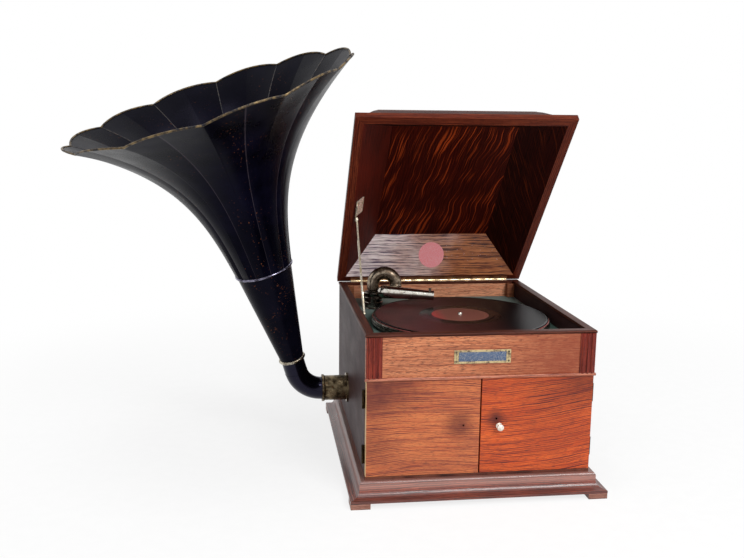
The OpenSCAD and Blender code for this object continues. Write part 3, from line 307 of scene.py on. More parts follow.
def streaked(name):
    """The lid's back slope: open grain full of dark wax, with a painted pale reflection over one
    end.
    """
    mat, tree, shader = new_material(name)
    vec = add(tree, "ShaderNodeTexCoord")["Object"]
    uv = board_coords(tree, "UV")
    sway = add(tree, "ShaderNodeTexNoise", {
        "Vector": uv * (14.0, 20.0, 1.0), "Scale": 1.0, "Detail": 2.0})
    parts = add(tree, "ShaderNodeSeparateXYZ", {0: uv})
    run = add(tree, "ShaderNodeCombineXYZ", {0: parts["X"], 1: parts["Y"] + sway * 0.006})
    coarse, fine = (add(tree, "ShaderNodeTexNoise", {
        "Vector": run * scale, "Scale": 1.0, "Detail": 2.0, "Roughness": 0.6})
        for scale in ((9.0, 480.0, 1.0), (50.0, 900.0, 1.0)))
    lines = coarse * 0.62 + fine * 0.38
    warm = add(tree, "ShaderNodeValToRGB", {0: lines}, [
        (0.41, "#2c1512"), (0.46, "#6e3622"), (0.50, "#a05a34"), (0.57, "#bd7644")])
    # painted reflection: pale grey grain, laid in patches over the left end of the slope
    painted_glare = add(tree, "ShaderNodeValToRGB", {0: lines}, [
        (0.41, "#4a3a50"), (0.455, "#a78e92"), (0.50, "#e4cfce"), (0.57, "#faeeec")])
    patchy = add(tree, "ShaderNodeTexNoise", {
        "Vector": vec, "Scale": 16.0, "Detail": 3.0, "Roughness": 0.6})
    place = add(tree, "ShaderNodeSeparateXYZ", {0: vec})["X"] + patchy * 0.16
    mask = add(tree, "ShaderNodeMapRange", {
        "Value": place, "From Min": -0.05, "From Max": 0.15, "To Min": 1.0, "To Max": 0.0},
        interpolation_type="SMOOTHSTEP")
    base = add(tree, "ShaderNodeMix", {0: mask, 6: warm, 7: painted_glare}, data_type="RGBA")
    # a few pale specks where something has dried on the wax
    specks = add(tree, "ShaderNodeTexNoise", {"Vector": vec, "Scale": 420.0, "Detail": 1.0})
    set_inputs(shader, {
        "Base Color": laid_over(tree, base, "#c9c2cc", specks, [(0.74, 0.0), (0.77, 0.8)]),
        "Roughness": 0.5, "Specular IOR Level": 0.4,
        "Normal": add(tree, "ShaderNodeBump", {
            "Height": lines, "Strength": 0.8, "Distance": 0.35 * MM})})
    return mat


# Metal, enamel, cloth, shellac and paper


def metal(name, clean, worn, wear, rough, patch_mm, spot=None, metallic=1.0, dent_mm=0.2):
    """Plate or bare metal, tarnished in patches."""
    mat, tree, shader = new_material(name)
    vec = add(tree, "ShaderNodeTexCoord")["Object"]
    patch = add(tree, "ShaderNodeTexNoise", {
        "Vector": vec, "Scale": 1000 / patch_mm, "Detail": 5.0, "Roughness": 0.62})
    mask = add(tree, "ShaderNodeValToRGB", {0: patch}, [
        (0.60 - 0.35 * wear, 0.0), (0.74 - 0.2 * wear, 1.0)])
    base = add(tree, "ShaderNodeMix", {0: mask, 6: clean, 7: worn}, data_type="RGBA")
    if spot:
        dots = add(tree, "ShaderNodeTexNoise", {"Vector": vec, "Scale": 330.0, "Detail": 2.0})
        base = laid_over(tree, base, spot, dots, [(0.62, 0.0), (0.69, 0.85)])
    set_inputs(shader, {
        "Base Color": base, "Metallic": metallic,
        "Roughness": add(tree, "ShaderNodeMapRange", {
            "Value": mask, "To Min": rough[0], "To Max": rough[1]}),
        "Normal": add(tree, "ShaderNodeBump", {
            "Height": patch, "Strength": 0.3, "Distance": dent_mm * MM})})
    return mat


def petal_cell(tree):
    """1 at each seam of the bell and 0 along the middle of each petal; 1 on the outer face."""
    across = [tuple(BELL_FRAME.col[i].xyz) for i in (0, 1)]
    away = add(tree, "ShaderNodeTexCoord")["Object"] - tuple(BELL_FRAME.translation * MM)
    x, y = (add(tree, "ShaderNodeVectorMath", {0: away, 1: axis}, operation="DOT_PRODUCT")
            for axis in across)
    turns = add(tree, "ShaderNodeMath", {0: y, 1: x}, operation="ARCTAN2") * (12 / (2 * math.pi))
    cell = add(tree, "ShaderNodeMath", {0: turns}, operation="FRACT") - 0.5
    spoke = [add(tree, "ShaderNodeVectorMath", {0: axis, "Scale": part}, operation="SCALE")
             for axis, part in zip(across, (x, y))]
    spoke = add(tree, "ShaderNodeVectorMath", {0: spoke[0], 1: spoke[1]}, operation="ADD")
    facing = add(tree, "ShaderNodeVectorMath", {
        0: add(tree, "ShaderNodeNewGeometry")["Normal"], 1: spoke}, operation="DOT_PRODUCT")
    return (add(tree, "ShaderNodeMath", {0: cell}, operation="ABSOLUTE") * 2.0,
            add(tree, "ShaderNodeMath", {0: facing, 1: 0.0}, operation="GREATER_THAN"))


def enamel(name, body, haze, haze_amount, rough, level, chips_at=0.66, folds=False):
    """Black stove enamel on tinplate, dusty, with chips gone to rust."""
    mat, tree, shader = new_material(name)
    vec = add(tree, "ShaderNodeTexCoord")["Object"]
    dust = add(tree, "ShaderNodeTexNoise", {
        "Vector": vec, "Scale": 14.0, "Detail": 5.0, "Roughness": 0.62})
    base = laid_over(tree, body, haze, dust, [(0.42, 0.0), (0.78, haze_amount)])
    small = add(tree, "ShaderNodeTexNoise", {
        "Vector": vec, "Scale": 260.0, "Detail": 3.0, "Roughness": 0.6})
    area = add(tree, "ShaderNodeTexNoise", {"Vector": vec, "Scale": 20.0, "Detail": 2.0})
    chips = add(tree, "ShaderNodeValToRGB", {0: small}, [(chips_at, 0.0), (chips_at + 0.02, 1.0)])
    chips = chips * add(tree, "ShaderNodeValToRGB", {0: area}, [(0.5, 0.0), (0.62, 1.0)])
    base = add(tree, "ShaderNodeMix", {0: chips, 6: base, 7: "#6b3f28"}, data_type="RGBA")
    if folds:
        # each petal is creased down its middle, and the crease is worn a little paler
        cell, outside = petal_cell(tree)
        crease = add(tree, "ShaderNodeValToRGB", {0: cell}, [(0.0, 0.7), (0.03, 0.0)]) * outside
        base = add(tree, "ShaderNodeMix", {0: crease * dust, 6: base, 7: "#5a5058"},
                   data_type="RGBA")
        # painted shade: the mouth of the horn, inside the bell, is painted darker than its outside
        base = add(tree, "ShaderNodeMix", {0: (1.0 - outside) * 0.6, 6: base, 7: "#000004"},
                   data_type="RGBA")
        wave = add(tree, "ShaderNodeTexNoise", {"Vector": vec, "Scale": 9.0, "Detail": 2.0})
        height, depth_mm, strength = cell + wave * 0.6, 5.0, 0.8
    else:
        height = add(tree, "ShaderNodeTexNoise", {"Vector": vec, "Scale": 55.0, "Detail": 2.0})
        depth_mm, strength = 0.15, 0.2
    set_inputs(shader, {
        "Base Color": base, "Specular IOR Level": level,
        "Specular Tint": (0.62, 0.58, 1.0, 1.0),
        "Roughness": add(tree, "ShaderNodeMapRange", {
            "Value": dust, "From Min": 0.3, "From Max": 0.7, "To Min": rough[0],
            "To Max": rough[1]}),
        "Normal": add(tree, "ShaderNodeBump", {
            "Height": height, "Strength": strength, "Distance": depth_mm * MM})})
    return mat


def cloth(name, body, worn, thread_mm=1.6):
    """Napped cloth: short fibres over a worn, dusty ground."""
    mat, tree, shader = new_material(name)
    vec = add(tree, "ShaderNodeTexCoord")["Object"]
    nap = add(tree, "ShaderNodeTexNoise", {
        "Vector": vec, "Scale": 1000 / thread_mm, "Detail": 3.0, "Roughness": 0.7})
    wear = add(tree, "ShaderNodeTexNoise", {"Vector": vec, "Scale": 25.0, "Detail": 3.0})
    base = laid_over(tree, body, worn, wear, [(0.4, 0.0), (0.7, 0.6)])
    set_inputs(shader, {
        "Base Color": laid_over(tree, base, worn, nap, [(0.4, 0.0), (0.65, 0.4)]),
        "Roughness": 0.95, "Sheen Weight": 0.3,
        "Normal": add(tree, "ShaderNodeBump", {
            "Height": nap, "Strength": 0.6, "Distance": 0.5 * MM})})
    return mat


def disc_radius(tree):
    """Distance from the spindle, in metres."""
    coords = add(tree, "ShaderNodeTexCoord")["Object"]
    flat = (coords - (DISC[0] * MM, DISC[1] * MM, 0)) * (1, 1, 0)
    return add(tree, "ShaderNodeVectorMath", {0: flat}, operation="LENGTH")


def shellac(name):
    """Pressed shellac: concentric grooves, grey with wear and dust, with a painted brownish sheen
    on one side, between blank bands.
    """
    mat, tree, shader = new_material(name)
    vec = add(tree, "ShaderNodeTexCoord")["Object"]
    radius = disc_radius(tree)
    # the real grooves are 0.25 mm apart; these are 1.3 mm apart so that their light shows
    wave = add(tree, "ShaderNodeMath", {0: radius * (2 * math.pi / 0.0013)}, operation="SINE")
    bands = add(tree, "ShaderNodeTexNoise", {
        "Vector": add(tree, "ShaderNodeCombineXYZ", {0: radius}), "Scale": 420.0, "Detail": 3.0})
    dust = add(tree, "ShaderNodeTexNoise", {
        "Vector": vec, "Scale": 26.0, "Detail": 4.0, "Roughness": 0.65})
    # dust, and a painted brownish sheen that fades from the left of the record towards the right
    dust_and_sheen = add(tree, "ShaderNodeMapRange", {
        "Value": add(tree, "ShaderNodeSeparateXYZ", {0: vec})["X"], "From Min": -0.12,
        "From Max": 0.08, "To Min": 1.0, "To Max": 0.0})
    dust_and_sheen = dust_and_sheen * add(tree, "ShaderNodeValToRGB", {0: dust}, [(0.3, 0.3), (0.7, 0.8)])
    base = add(tree, "ShaderNodeMix", {0: dust_and_sheen, 6: "#070406", 7: "#6a3434"}, data_type="RGBA")
    base = laid_over(tree, base, "#150d0e", bands, [(0.45, 0.0), (0.62, 0.3)])
    # the smooth run-out ring and the rim carry no grooves and shine
    grooved = add(tree, "ShaderNodeValToRGB", {0: radius * 5.0}, [
        (0.350, 0.0), (0.362, 1.0), (0.738, 1.0), (0.748, 0.0)])
    rough = add(tree, "ShaderNodeMapRange", {"Value": bands, "To Min": 0.24, "To Max": 0.42})
    set_inputs(shader, {
        "Base Color": add(tree, "ShaderNodeMix", {0: grooved, 6: "#070406", 7: base},
                          data_type="RGBA"),
        "Roughness": rough * (grooved * 0.5 + 0.5), "Specular IOR Level": 0.06,
        "Normal": add(tree, "ShaderNodeBump", {
            "Height": wave * grooved, "Strength": 0.35, "Distance": 0.05 * MM})})
    return mat


def printed_label(name):
    """Maroon label paper, redder on one side where it has not faded, with thin gilt rings."""
    mat, tree, shader = new_material(name)
    vec = add(tree, "ShaderNodeTexCoord")["Object"]
    radius = disc_radius(tree)
    fibres = add(tree, "ShaderNodeTexNoise", {
        "Vector": vec, "Scale": 260.0, "Detail": 4.0, "Roughness": 0.6})
    fade = add(tree, "ShaderNodeMapRange", {
        "Value": add(tree, "ShaderNodeSeparateXYZ", {0: vec})["X"], "From Min": -0.046,
        "From Max": -0.020, "To Min": 1.0, "To Max": 0.0})
    base = add(tree, "ShaderNodeMix", {0: fade, 6: "#74443b", 7: "#b03438"}, data_type="RGBA")
    base = laid_over(tree, base, "#643a33", fibres, [(0.42, 0.0), (0.7, 0.35)])
    ring = add(tree, "ShaderNodeMath", {0: radius - 0.044, 1: 0.0028}, operation="PINGPONG")
    ring = add(tree, "ShaderNodeValToRGB", {0: ring * 400.0}, [(0.08, 1.0), (0.2, 0.0)])
    inside = add(tree, "ShaderNodeValToRGB", {0: radius * 10.0}, [
        (0.40, 0.0), (0.42, 1.0), (0.47, 1.0), (0.49, 0.0)])
    set_inputs(shader, {
        "Base Color": add(tree, "ShaderNodeMix", {
            0: ring * inside * 0.4, 6: base, 7: "#a5773f"}, data_type="RGBA"),
        "Roughness": 0.42, "Specular IOR Level": 0.15,
        "Normal": add(tree, "ShaderNodeBump", {
            "Height": fibres, "Strength": 0.3, "Distance": 0.06 * MM})})
    return mat


def speckled(name, body, fleck, scale, rough, amount, low):
    """Paint, ink or old card with worn specks."""
    mat, tree, shader = new_material(name)
    dots = add(tree, "ShaderNodeTexNoise", {
        "Vector": add(tree, "ShaderNodeTexCoord")["Object"], "Scale": scale, "Detail": 4.0,
        "Roughness": 0.6})
    set_inputs(shader, {
        "Base Color": laid_over(tree, body, fleck, dots, [(low, 0.0), (low + 0.12, amount)]),
        "Roughness": rough,
        "Normal": add(tree, "ShaderNodeBump", {
            "Height": dots, "Strength": 0.3, "Distance": 0.12 * MM})})
    return mat


def look(kind, *values, **settings):
    """A finish, made when the first piece asks for it by name."""
    return lambda name: kind(name, *values, **settings)


FINISHES = {
    # orange front: thin purple-brown lines on bright stain, handled dark near the knob and hole
    "door_left_oak": look(
        oak, "#5f2c2c", "#b95c38", "#cf7a48", "XZY", 2.3, 0.004, arch=(-0.09, 0.6),
        patch="#96503a", patch_amount=0.5, pore="#55302e", at=(0.3, 0.1, 0), contrast=1.4,
        # a painted highlight and worn stain along the door's outer corner
        edge=(-182, 1.3, "#c8ab7c"), spots=("#5a2420", [(-170, -217, 185, 75, 0.8),
        (-120, -217, 192, 60, 0.4), (-34, -217, 124, 34, 0.7), (-172, -217, 95, 50, 0.4)])),
    "door_right_oak": look(
        oak, "#5a2222", "#bf4a1f", "#d8632a", "XZY", 2.5, 0.005, arch=(-0.04, -0.4),
        patch="#9c3c20", patch_amount=0.5, pore="#4d2826", at=(1.3, 0.7, 0), contrast=1.5,
        spots=("#4d1d18", [(24, -217, 132, 22, 0.8), (168, -217, 190, 60, 0.55),
        (120, -217, 185, 90, 0.35)])),
    "frieze_oak": look(
        oak, "#703a2e", "#bf6c44", "#d89066", "XZY", 2.1, 0.004, patch="#9a5a40", pore="#5c3428",
        at=(2.1, 0.2, 0), pores=0.8, contrast=1.3,
        spots=("#8a3f28", [(150, -217, 215, 190, 0.8)])),
    "strip_oak": look(
        oak, "#6a2c20", "#aa5a3c", "#d08c70", "XZY", 2.0, 0.003, patch="#8a4a34", gloss=0.3,
        level=0.5, at=(0.7, 0.9, 0)),
    "pilaster_oak": look(
        oak, "#3a0f0c", "#782820", "#8f3a28", "ZXY", 2.6, 0.003, patch="#54201a", at=(0.1, 0.4, 0),
        level=0.2),
    # sides and back: the sides painted dark to stand for their shade, with a painted violet sheen
    "side_oak": look(
        oak, "#1e1011", "#3a2322", "#4c3230", "YZX", 2.8, 0.008, patch="#2a1817", at=(0.5, 0.3, 0),
        bloom=("#473841", 0.3), level=0.05),
    # back: the inner face painted bright as if lit, and the wood past 207 mm back painted near
    # black as shade
    "back_oak": look(
        oak, "#96503c", "#d98a64", "#eeb18c", "XZY", 2.6, 0.008, patch="#b06c4e", at=(0.9, 1.3, 0),
        shade=[("Y", 206, 207, 0.8, "#000000")]),
    # plinth: red-brown and glossy so that its hollow shines, with a painted highlight over the top
    # of the hollow
    "moulding_oak": look(
        oak, "#2a0c0c", "#7a2c20", "#a3523c", "UV", 2.6, 0.005, patch="#52201a", patch_amount=0.6,
        # painted highlight from 23 mm up, darker again from 33 mm up, and painted shade below 24
        # mm
        gloss=0.26, level=0.7, contrast=1.3, shade=[("Z", 23, 29, 0.2, "#f4d2c4"),
        ("Z", 33, 35, 0.5, "#4a1c14"), ("Z", 24, 20, 0.4, "#000000")]),
    "foot_oak": look(
        oak, "#4a2820", "#8f5f50", "#ab7c6c", "XZY", 2.6, 0.003, patch="#6e4438",
        at=(3.1, 0.4, 0)),
    # rim: dark oak, painted darker still to stand for the shade under the record's edge
    "rim_oak": look(
        oak, "#220d0a", "#431f17", "#643527", "UV", 2.4, 0.003, patch="#30150f", gloss=0.38,
        at=(0.4, 0.8, 0), level=0.1),
    # lid: nearly black inside, where the bare rays of the wood show orange
    "lid_edge_oak": look(
        oak, "#2a0c08", "#561f14", "#7e3a22", "UV", 2.6, 0.005, patch="#3c140e", at=(1.4, 0.2, 0),
        level=0.06),
    "lid_out_oak": look(
        oak, "#2a110d", "#48251b", "#5c3426", "UV", 2.8, 0.006, patch="#34190f", at=(0.4, 2.2, 0),
        level=0.05),
    "lid_back_slope_oak": streaked,
    "lid_left_slope_oak": look(
        oak, "#260906", "#44120b", "#50180e", "UV", 4.0, 0.008, patch="#641c10", patch_amount=0.45,
        at=(0.2, 3.0, 0), level=0.05, relief=0.2, pores=0.2),
    "lid_right_slope_oak": look(
        oak, "#170605", "#290b08", "#300e0a", "UV", 4.0, 0.008, patch="#1c0706", at=(2.2, 1.0, 0),
        level=0.04, rays=("#6e2c12", 0.45, 3.6, 60.0, -0.6), relief=0.2, pores=0.2),
    "lid_front_slope_oak": look(
        oak, "#1c0806", "#33100a", "#431a10", "UV", 3.4, 0.008, patch="#250c08", at=(1.2, 4.0, 0),
        level=0.05),
    "lid_ceiling_oak": look(
        oak, "#230705", "#370c07", "#3f1009", "UV", 4.0, 0.008, patch="#2a0a06", at=(0.6, 0.3, 0),
        pores=0.2, level=0.03, rays=("#ac431a", 0.8, 3.1, 110.0, 0.2), relief=0.2),
    # inside: plainer, paler wood; the pine is yellow, the bottom board dark
    "inner_oak": look(
        oak, "#55281c", "#96583a", "#b07048", "XZY", 3.0, 0.008, patch="#6e3c28",
        at=(0.2, 0.6, 0)),
    "cleat_pine": look(
        oak, "#8a5f38", "#b4854f", "#c99f68", "YXZ", 5.0, 0.010, patch="#9c7040", pores=0.15,
        gloss=0.6),
    "bottom_oak": look(
        oak, "#30140f", "#5a2c20", "#714030", "XYZ", 4.0, 0.010, patch="#40201a", pores=0.3,
        gloss=0.6),
    # horn: black with a violet-blue sheen, dusty outside, with painted shade darker inside
    "bell_enamel": look(enamel, "#020208", "#121126", 0.5, (0.22, 0.36), level=0.05, folds=True),
    "cone_enamel": look(
        enamel, "#05050c", "#12111f", 0.45, (0.2, 0.36), level=0.06, chips_at=0.63),
    "elbow_enamel": look(
        enamel, "#040409", "#12111f", 0.3, (0.12, 0.24), level=0.3, chips_at=0.68),
    # nickel cap worn through to dark brown
    "cap_nickel": look(metal, "#8d867c", "#262120", 0.6, (0.16, 0.34), patch_mm=7.0),
    # worn gilt line along the rim and the seams
    "gilt_line": look(metal, "#75603c", "#100f18", 0.68, (0.35, 0.6), patch_mm=10.0, metallic=0.5),
    "seam_line": look(metal, "#4a4038", "#0c0b14", 0.9, (0.4, 0.55), patch_mm=7.0, metallic=0.3),
    # rings of the horn: nickel gone grey and brown in patches
    "joint_ring": look(metal, "#8f8ca0", "#2c2834", 0.6, (0.16, 0.36), patch_mm=8.0),
    "nickel_ring": look(
        metal, "#c6bfae", "#5a4c3a", 0.5, (0.18, 0.42), spot="#3c2818", patch_mm=9.0),
    # collar: dull brass with rusty brown spots and small dents
    "tarnished_brass": look(
        metal, "#8d7d62", "#33281c", 0.6, (0.24, 0.46), spot="#54300f", patch_mm=12.0,
        dent_mm=0.5),
    # lid hinge: flat pinkish brass plates, bright knuckles
    "hinge_brass": look(
        metal, "#a87c5c", "#6e4834", 0.5, (0.38, 0.56), patch_mm=16.0, metallic=0.6),
    "knuckle_brass": look(
        metal, "#efdcb4", "#b89a6c", 0.4, (0.22, 0.4), patch_mm=12.0, metallic=0.75),
    # door leaves: brass gone nearly black
    "door_brass": look(metal, "#3c2f1e", "#1a140e", 0.6, (0.35, 0.55), patch_mm=8.0),
    # plate: pale brass with grey wear; motor: warm brass
    "plate_brass": look(metal, "#cdb88a", "#5c4c44", 0.4, (0.28, 0.5), patch_mm=5.0, metallic=0.6),
    "motor_brass": look(metal, "#b8934f", "#7d5f34", 0.45, (0.25, 0.42), patch_mm=15.0),
    # knob and rod: pale nickel with a soft shine
    "knob_nickel": look(
        metal, "#f4ece0", "#a09078", 0.3, (0.16, 0.36), patch_mm=4.0, metallic=0.6),
    "stay_nickel": look(
        metal, "#efe6d2", "#b09c78", 0.4, (0.25, 0.45), patch_mm=10.0, metallic=0.6),
    # tone arm: a bright tube, with the neck and base tarnished darker
    "arm_nickel": look(
        metal, "#d0cbc3", "#857a6c", 0.35, (0.14, 0.32), spot="#5c5044", patch_mm=12.0),
    "neck_nickel": look(
        metal, "#a39482", "#53463a", 0.55, (0.2, 0.4), spot="#3a2e24", patch_mm=11.0),
    "base_metal": look(metal, "#aaa298", "#2e2926", 0.55, (0.14, 0.32), patch_mm=6.0),
    # platter dull with handling; spindle bright; screws dark with rust
    "platter_nickel": look(metal, "#7c756c", "#3a342e", 0.5, (0.2, 0.4), patch_mm=10.0),
    "spindle_steel": look(metal, "#d8d4cc", "#8d8578", 0.35, (0.15, 0.3), patch_mm=5.0),
    "screw_steel": look(metal, "#7a6e5e", "#2c241c", 0.6, (0.35, 0.55), patch_mm=3.0),
    # motor: grey cast iron, a blue-grey spring and dull paint on the duct
    "motor_iron": look(
        metal, "#8f8b84", "#54504b", 0.5, (0.35, 0.55), patch_mm=20.0, metallic=0.85),
    "blued_spring_steel": look(metal, "#5c6068", "#35302e", 0.5, (0.25, 0.45), patch_mm=8.0),
    "painted_duct": look(
        metal, "#66625a", "#35312c", 0.5, (0.4, 0.6), patch_mm=22.0, metallic=0.8),
    # cloth: soft and flat, with no shine
    "green_baize": look(cloth, "#0f4234", "#245044"),
    "worn_red_felt": look(cloth, "#8c2a24", "#a84034", 1.2),
    # record: near black, with a grey streak of light over its grooves
    "record_shellac": shellac,
    "maroon_label_paper": printed_label,
    # worn blue paint and pinkish red card, both finely flecked
    "plate_field": look(speckled, "#2e4a72", "#d0cbb8", 1300.0, 0.75, 0.55, 0.5),
    "red_sticker": look(speckled, "#f08a90", "#f8dcdc", 1100.0, 0.7, 0.5, 0.5),
}


def finish(name):
    return bpy.data.materials.get(name) or FINISHES[name](name)


# Mesh helpers


def mesh_piece(name, verts, faces, uvs=None, angle=35.0, slots=None):
    """A mesh given in millimetres becomes a piece in metres, its place in the mesh."""
    mesh = bpy.data.meshes.new(name)
    mesh.from_pydata([tuple(v) for v in np.asarray(verts, float) * MM], [], faces)
    if uvs is not None:
        layer = mesh.uv_layers.new(name="run")
        layer.data.foreach_set("uv", [c for face in uvs for uv in face for c in uv])
    if slots is not None:
        mesh.polygons.foreach_set("material_index", slots)
    mesh.validate()
    mesh.shade_smooth()
    mesh.set_sharp_from_angle(angle=math.radians(angle))
    obj = bpy.data.objects.new(name, mesh)
    bpy.context.scene.collection.objects.link(obj)
    return obj


def face_out(obj):
    """Turns the faces of a closed piece outward."""
    bm = bmesh.new()
    bm.from_mesh(obj.data)
    bmesh.ops.remove_doubles(bm, verts=bm.verts, dist=1e-7)
    bmesh.ops.recalc_face_normals(bm, faces=bm.faces)
    bm.to_mesh(obj.data)
    bm.free()
    return obj


def dress(obj, finishes, body, stands_for=()):
    """Gives a new piece its finish and its body, and hides the CAD nodes that it stands for."""
    if obj.data.materials:
        obj.data.materials.clear()  # clearing also sends every face back to the first slot
    for name in ([finishes] if isinstance(finishes, str) else finishes):
        obj.data.materials.append(finish(name))
    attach(obj, body)
    if stands_for:
        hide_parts(*stands_for)
    return obj


def paint(finish_name, *nodes, worn_mm=0.0):
    """Gives CAD nodes their finish and rubs their edges round; their meshes stay as packed."""
    for name in nodes:
        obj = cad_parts[name]
        obj.data.materials.clear()
        obj.data.materials.append(finish(finish_name))
        shade = obj.modifiers.new("round_shading", "NODES")
        shade.node_group = smooth_group()
        if worn_mm:
            bevel = obj.modifiers.new("worn_edge", "BEVEL")
            bevel.width = worn_mm * MM
            bevel.segments = 2
            bevel.limit_method = "ANGLE"
            bevel.angle_limit = math.radians(50)
            bevel.use_clamp_overlap = True


def revolve(profile, segments):
    """Turns a closed [radius, height] outline round Z; points on the axis become poles."""
    verts, ids = [], []
    for r, z in profile:
        if r < 1e-6:
            ids.append([len(verts)] * segments)
            verts.append((0.0, 0.0, z))
            continue
        ids.append(list(range(len(verts), len(verts) + segments)))
        for k in range(segments):
            w = 2 * math.pi * k / segments
            verts.append((r * math.cos(w), r * math.sin(w), z))
    faces = []
    for i, a in enumerate(ids):
        b = ids[(i + 1) % len(ids)]
        if a[0] == a[1] and b[0] == b[1]:
            continue
        for k in range(segments):
            n = (k + 1) % segments
            face = [a[k], a[n], b[n], b[k]]
            faces.append([v for j, v in enumerate(face) if v != face[j - 1]])
    return verts, faces


def rounded(profile, radius):
    """Rounds the corners of a closed outline."""
    out = []
    for i in range(len(profile)):
        p0, p1, p2 = (np.array(profile[(i + k - 1) % len(profile)], float) for k in range(3))
        a, b = p0 - p1, p2 - p1
        la, lb = np.linalg.norm(a), np.linalg.norm(b)
        r = min(radius, 0.4 * la, 0.4 * lb)
        if r < 1e-3 or p1[0] < 1e-6:
            out.append(tuple(p1))
            continue
        start, end = p1 + a / la * r, p1 + b / lb * r
        for t in (0, 1 / 3, 2 / 3, 1):
            out.append(tuple((1 - t) ** 2 * start + 2 * t * (1 - t) * p1 + t * t * end))
    return out


def eased(points):
    """Smooth curve through the points of a cove."""
    pts = [np.array(p, float) for p in points]
    pts = [2 * pts[0] - pts[1]] + pts + [2 * pts[-1] - pts[-2]]
    out = []
    for i in range(1, len(pts) - 2):
        p0, p1, p2, p3 = pts[i - 1:i + 3]
        for t in (0, 0.25, 0.5, 0.75):
            square, cube = 2 * p0 - 5 * p1 + 4 * p2 - p3, 3 * p1 - p0 - 3 * p2 + p3
            out.append(tuple(0.5 * (2 * p1 + (p2 - p0) * t + square * t ** 2 + cube * t ** 3)))
    out.append(tuple(pts[-2]))
    return out


def placed(verts, matrix):
    return [tuple(matrix @ Vector(v)) for v in verts]


def turned(name, profile, matrix, segments, corner, angle=40.0):
    """A piece turned on a lathe from its outline."""
    verts, faces = revolve(rounded(profile, corner) if corner else profile, segments)
    return face_out(mesh_piece(name, placed(verts, matrix), faces, angle=angle))


def mitred_frame(half_w, half_d, profile, centre_y=0.0, pick=None):
    """Four boards mitred at the corners; the UV map runs in metres along and round each."""
    around = [0.0]
    for a, b in zip(profile, profile[1:] + profile[:1]):
        around.append(around[-1] + math.dist(a, b))
    verts, faces, uvs, slots = [], [], [], []
    for side in range(4):
        base = len(verts)
        across, along = (half_d, half_w) if side % 2 == 0 else (half_w, half_d)
        place = turn(math.pi / 2 * side, "Z")
        for inset, z in profile:
            for end in (-1, 1):
                verts.append(place @ Vector((end * (along - inset), -(across - inset), z)))
        count = len(profile)
        for i in range(count):
            j = (i + 1) % count
            faces.append([base + 2 * i, base + 2 * i + 1, base + 2 * j + 1, base + 2 * j])
            ends = [(along - profile[k][0]) for k in (i, i, j, j)]
            run = [s * e * MM + side * 1.7 for s, e in zip((-1, 1, 1, -1), ends)]
            rise = [around[i], around[i], around[i + 1], around[i + 1]]
            uvs.append([(u, v * MM + side * 0.31) for u, v in zip(run, rise)])
            slots.append(pick(side, i) if pick else 0)
    verts = [v + Vector((0, centre_y, 0)) for v in verts]
    return verts, faces, uvs, slots


def boxes(*corners):
    """Plain blocks from low and high corners, for boards whose edges are then eased."""
    verts, faces = [], []
    for x0, y0, z0, x1, y1, z1 in corners:
        n = len(verts)
        verts += [(x, y, z) for z in (z0, z1) for y in (y0, y1) for x in (x0, x1)]
        faces += [[n + i for i in f] for f in (
            (0, 2, 3, 1), (4, 5, 7, 6), (0, 1, 5, 4), (2, 6, 7, 3), (0, 4, 6, 2), (1, 3, 7, 5))]
    return verts, faces


def ease_edges(obj, width_mm):
    """Bevel applied to a new piece's edges, then shaded again."""
    bm = bmesh.new()
    bm.from_mesh(obj.data)
    edges = [e for e in bm.edges if len(e.link_faces) == 2
             and e.calc_face_angle(0.0) > math.radians(40)]
    bmesh.ops.bevel(bm, geom=edges, offset=width_mm * MM, segments=2, profile=0.5,
                    affect="EDGES", clamp_overlap=True)
    bm.to_mesh(obj.data)
    bm.free()
    obj.data.shade_smooth()
    obj.data.set_sharp_from_angle(angle=math.radians(35))
    return obj


# Geometry Nodes


def new_group(name, inputs):
    """Geometry node group with named inputs and one geometry out."""
    group = bpy.data.node_groups.new(name, "GeometryNodeTree")
    for label, kind, value in inputs:
        socket = group.interface.new_socket(name=label, in_out="INPUT", socket_type=kind)
        if value is not None:
            socket.default_value = value
    group.interface.new_socket(name="Geometry", in_out="OUTPUT", socket_type="NodeSocketGeometry")
    return group, add(group, "NodeGroupInput")


def smooth_group():
    """Node group that joins a CAD solid's triangles and shades its round faces smooth."""
    group = bpy.data.node_groups.get("round_shading")
    if group:
        return group
    group, g = new_group("round_shading", [("Geometry", "NodeSocketGeometry", None)])
    weld = add(group, "GeometryNodeMergeByDistance", {"Geometry": g["Geometry"], "Distance": 2e-6})
    smooth = add(group, "GeometryNodeSetShadeSmooth", {
        "Geometry": weld, "Shade Smooth": True}, domain="FACE")
    sharp = add(group, "FunctionNodeCompare", {
        0: add(group, "GeometryNodeInputMeshEdgeAngle"), 1: math.radians(32)},
        data_type="FLOAT", operation="GREATER_THAN")
    crisp = add(group, "GeometryNodeSetShadeSmooth", {
        "Geometry": smooth, "Selection": sharp, "Shade Smooth": False}, domain="EDGE")
    add(group, "NodeGroupOutput", {0: crisp})
    return group


def made_plain(name, group, values, extra=None):
    """Evaluates a node group on an empty mesh and keeps the result as a plain mesh."""
    holder = bpy.data.objects.new(name, bpy.data.meshes.new(name + "_seed"))
    bpy.context.scene.collection.objects.link(holder)
    mod = holder.modifiers.new("shape", "NODES")
    mod.node_group = group
    for item in group.interface.items_tree:
        if item.in_out == "INPUT" and item.name in values:
            mod[item.identifier] = values[item.name]
    if extra:
        extra(holder)
    graph = bpy.context.evaluated_depsgraph_get()
    mesh = bpy.data.meshes.new_from_object(holder.evaluated_get(graph))
    mesh.name = name
    holder.modifiers.clear()
    bpy.data.objects.remove(holder)
    obj = bpy.data.objects.new(name, mesh)
    bpy.context.scene.collection.objects.link(obj)
    return obj


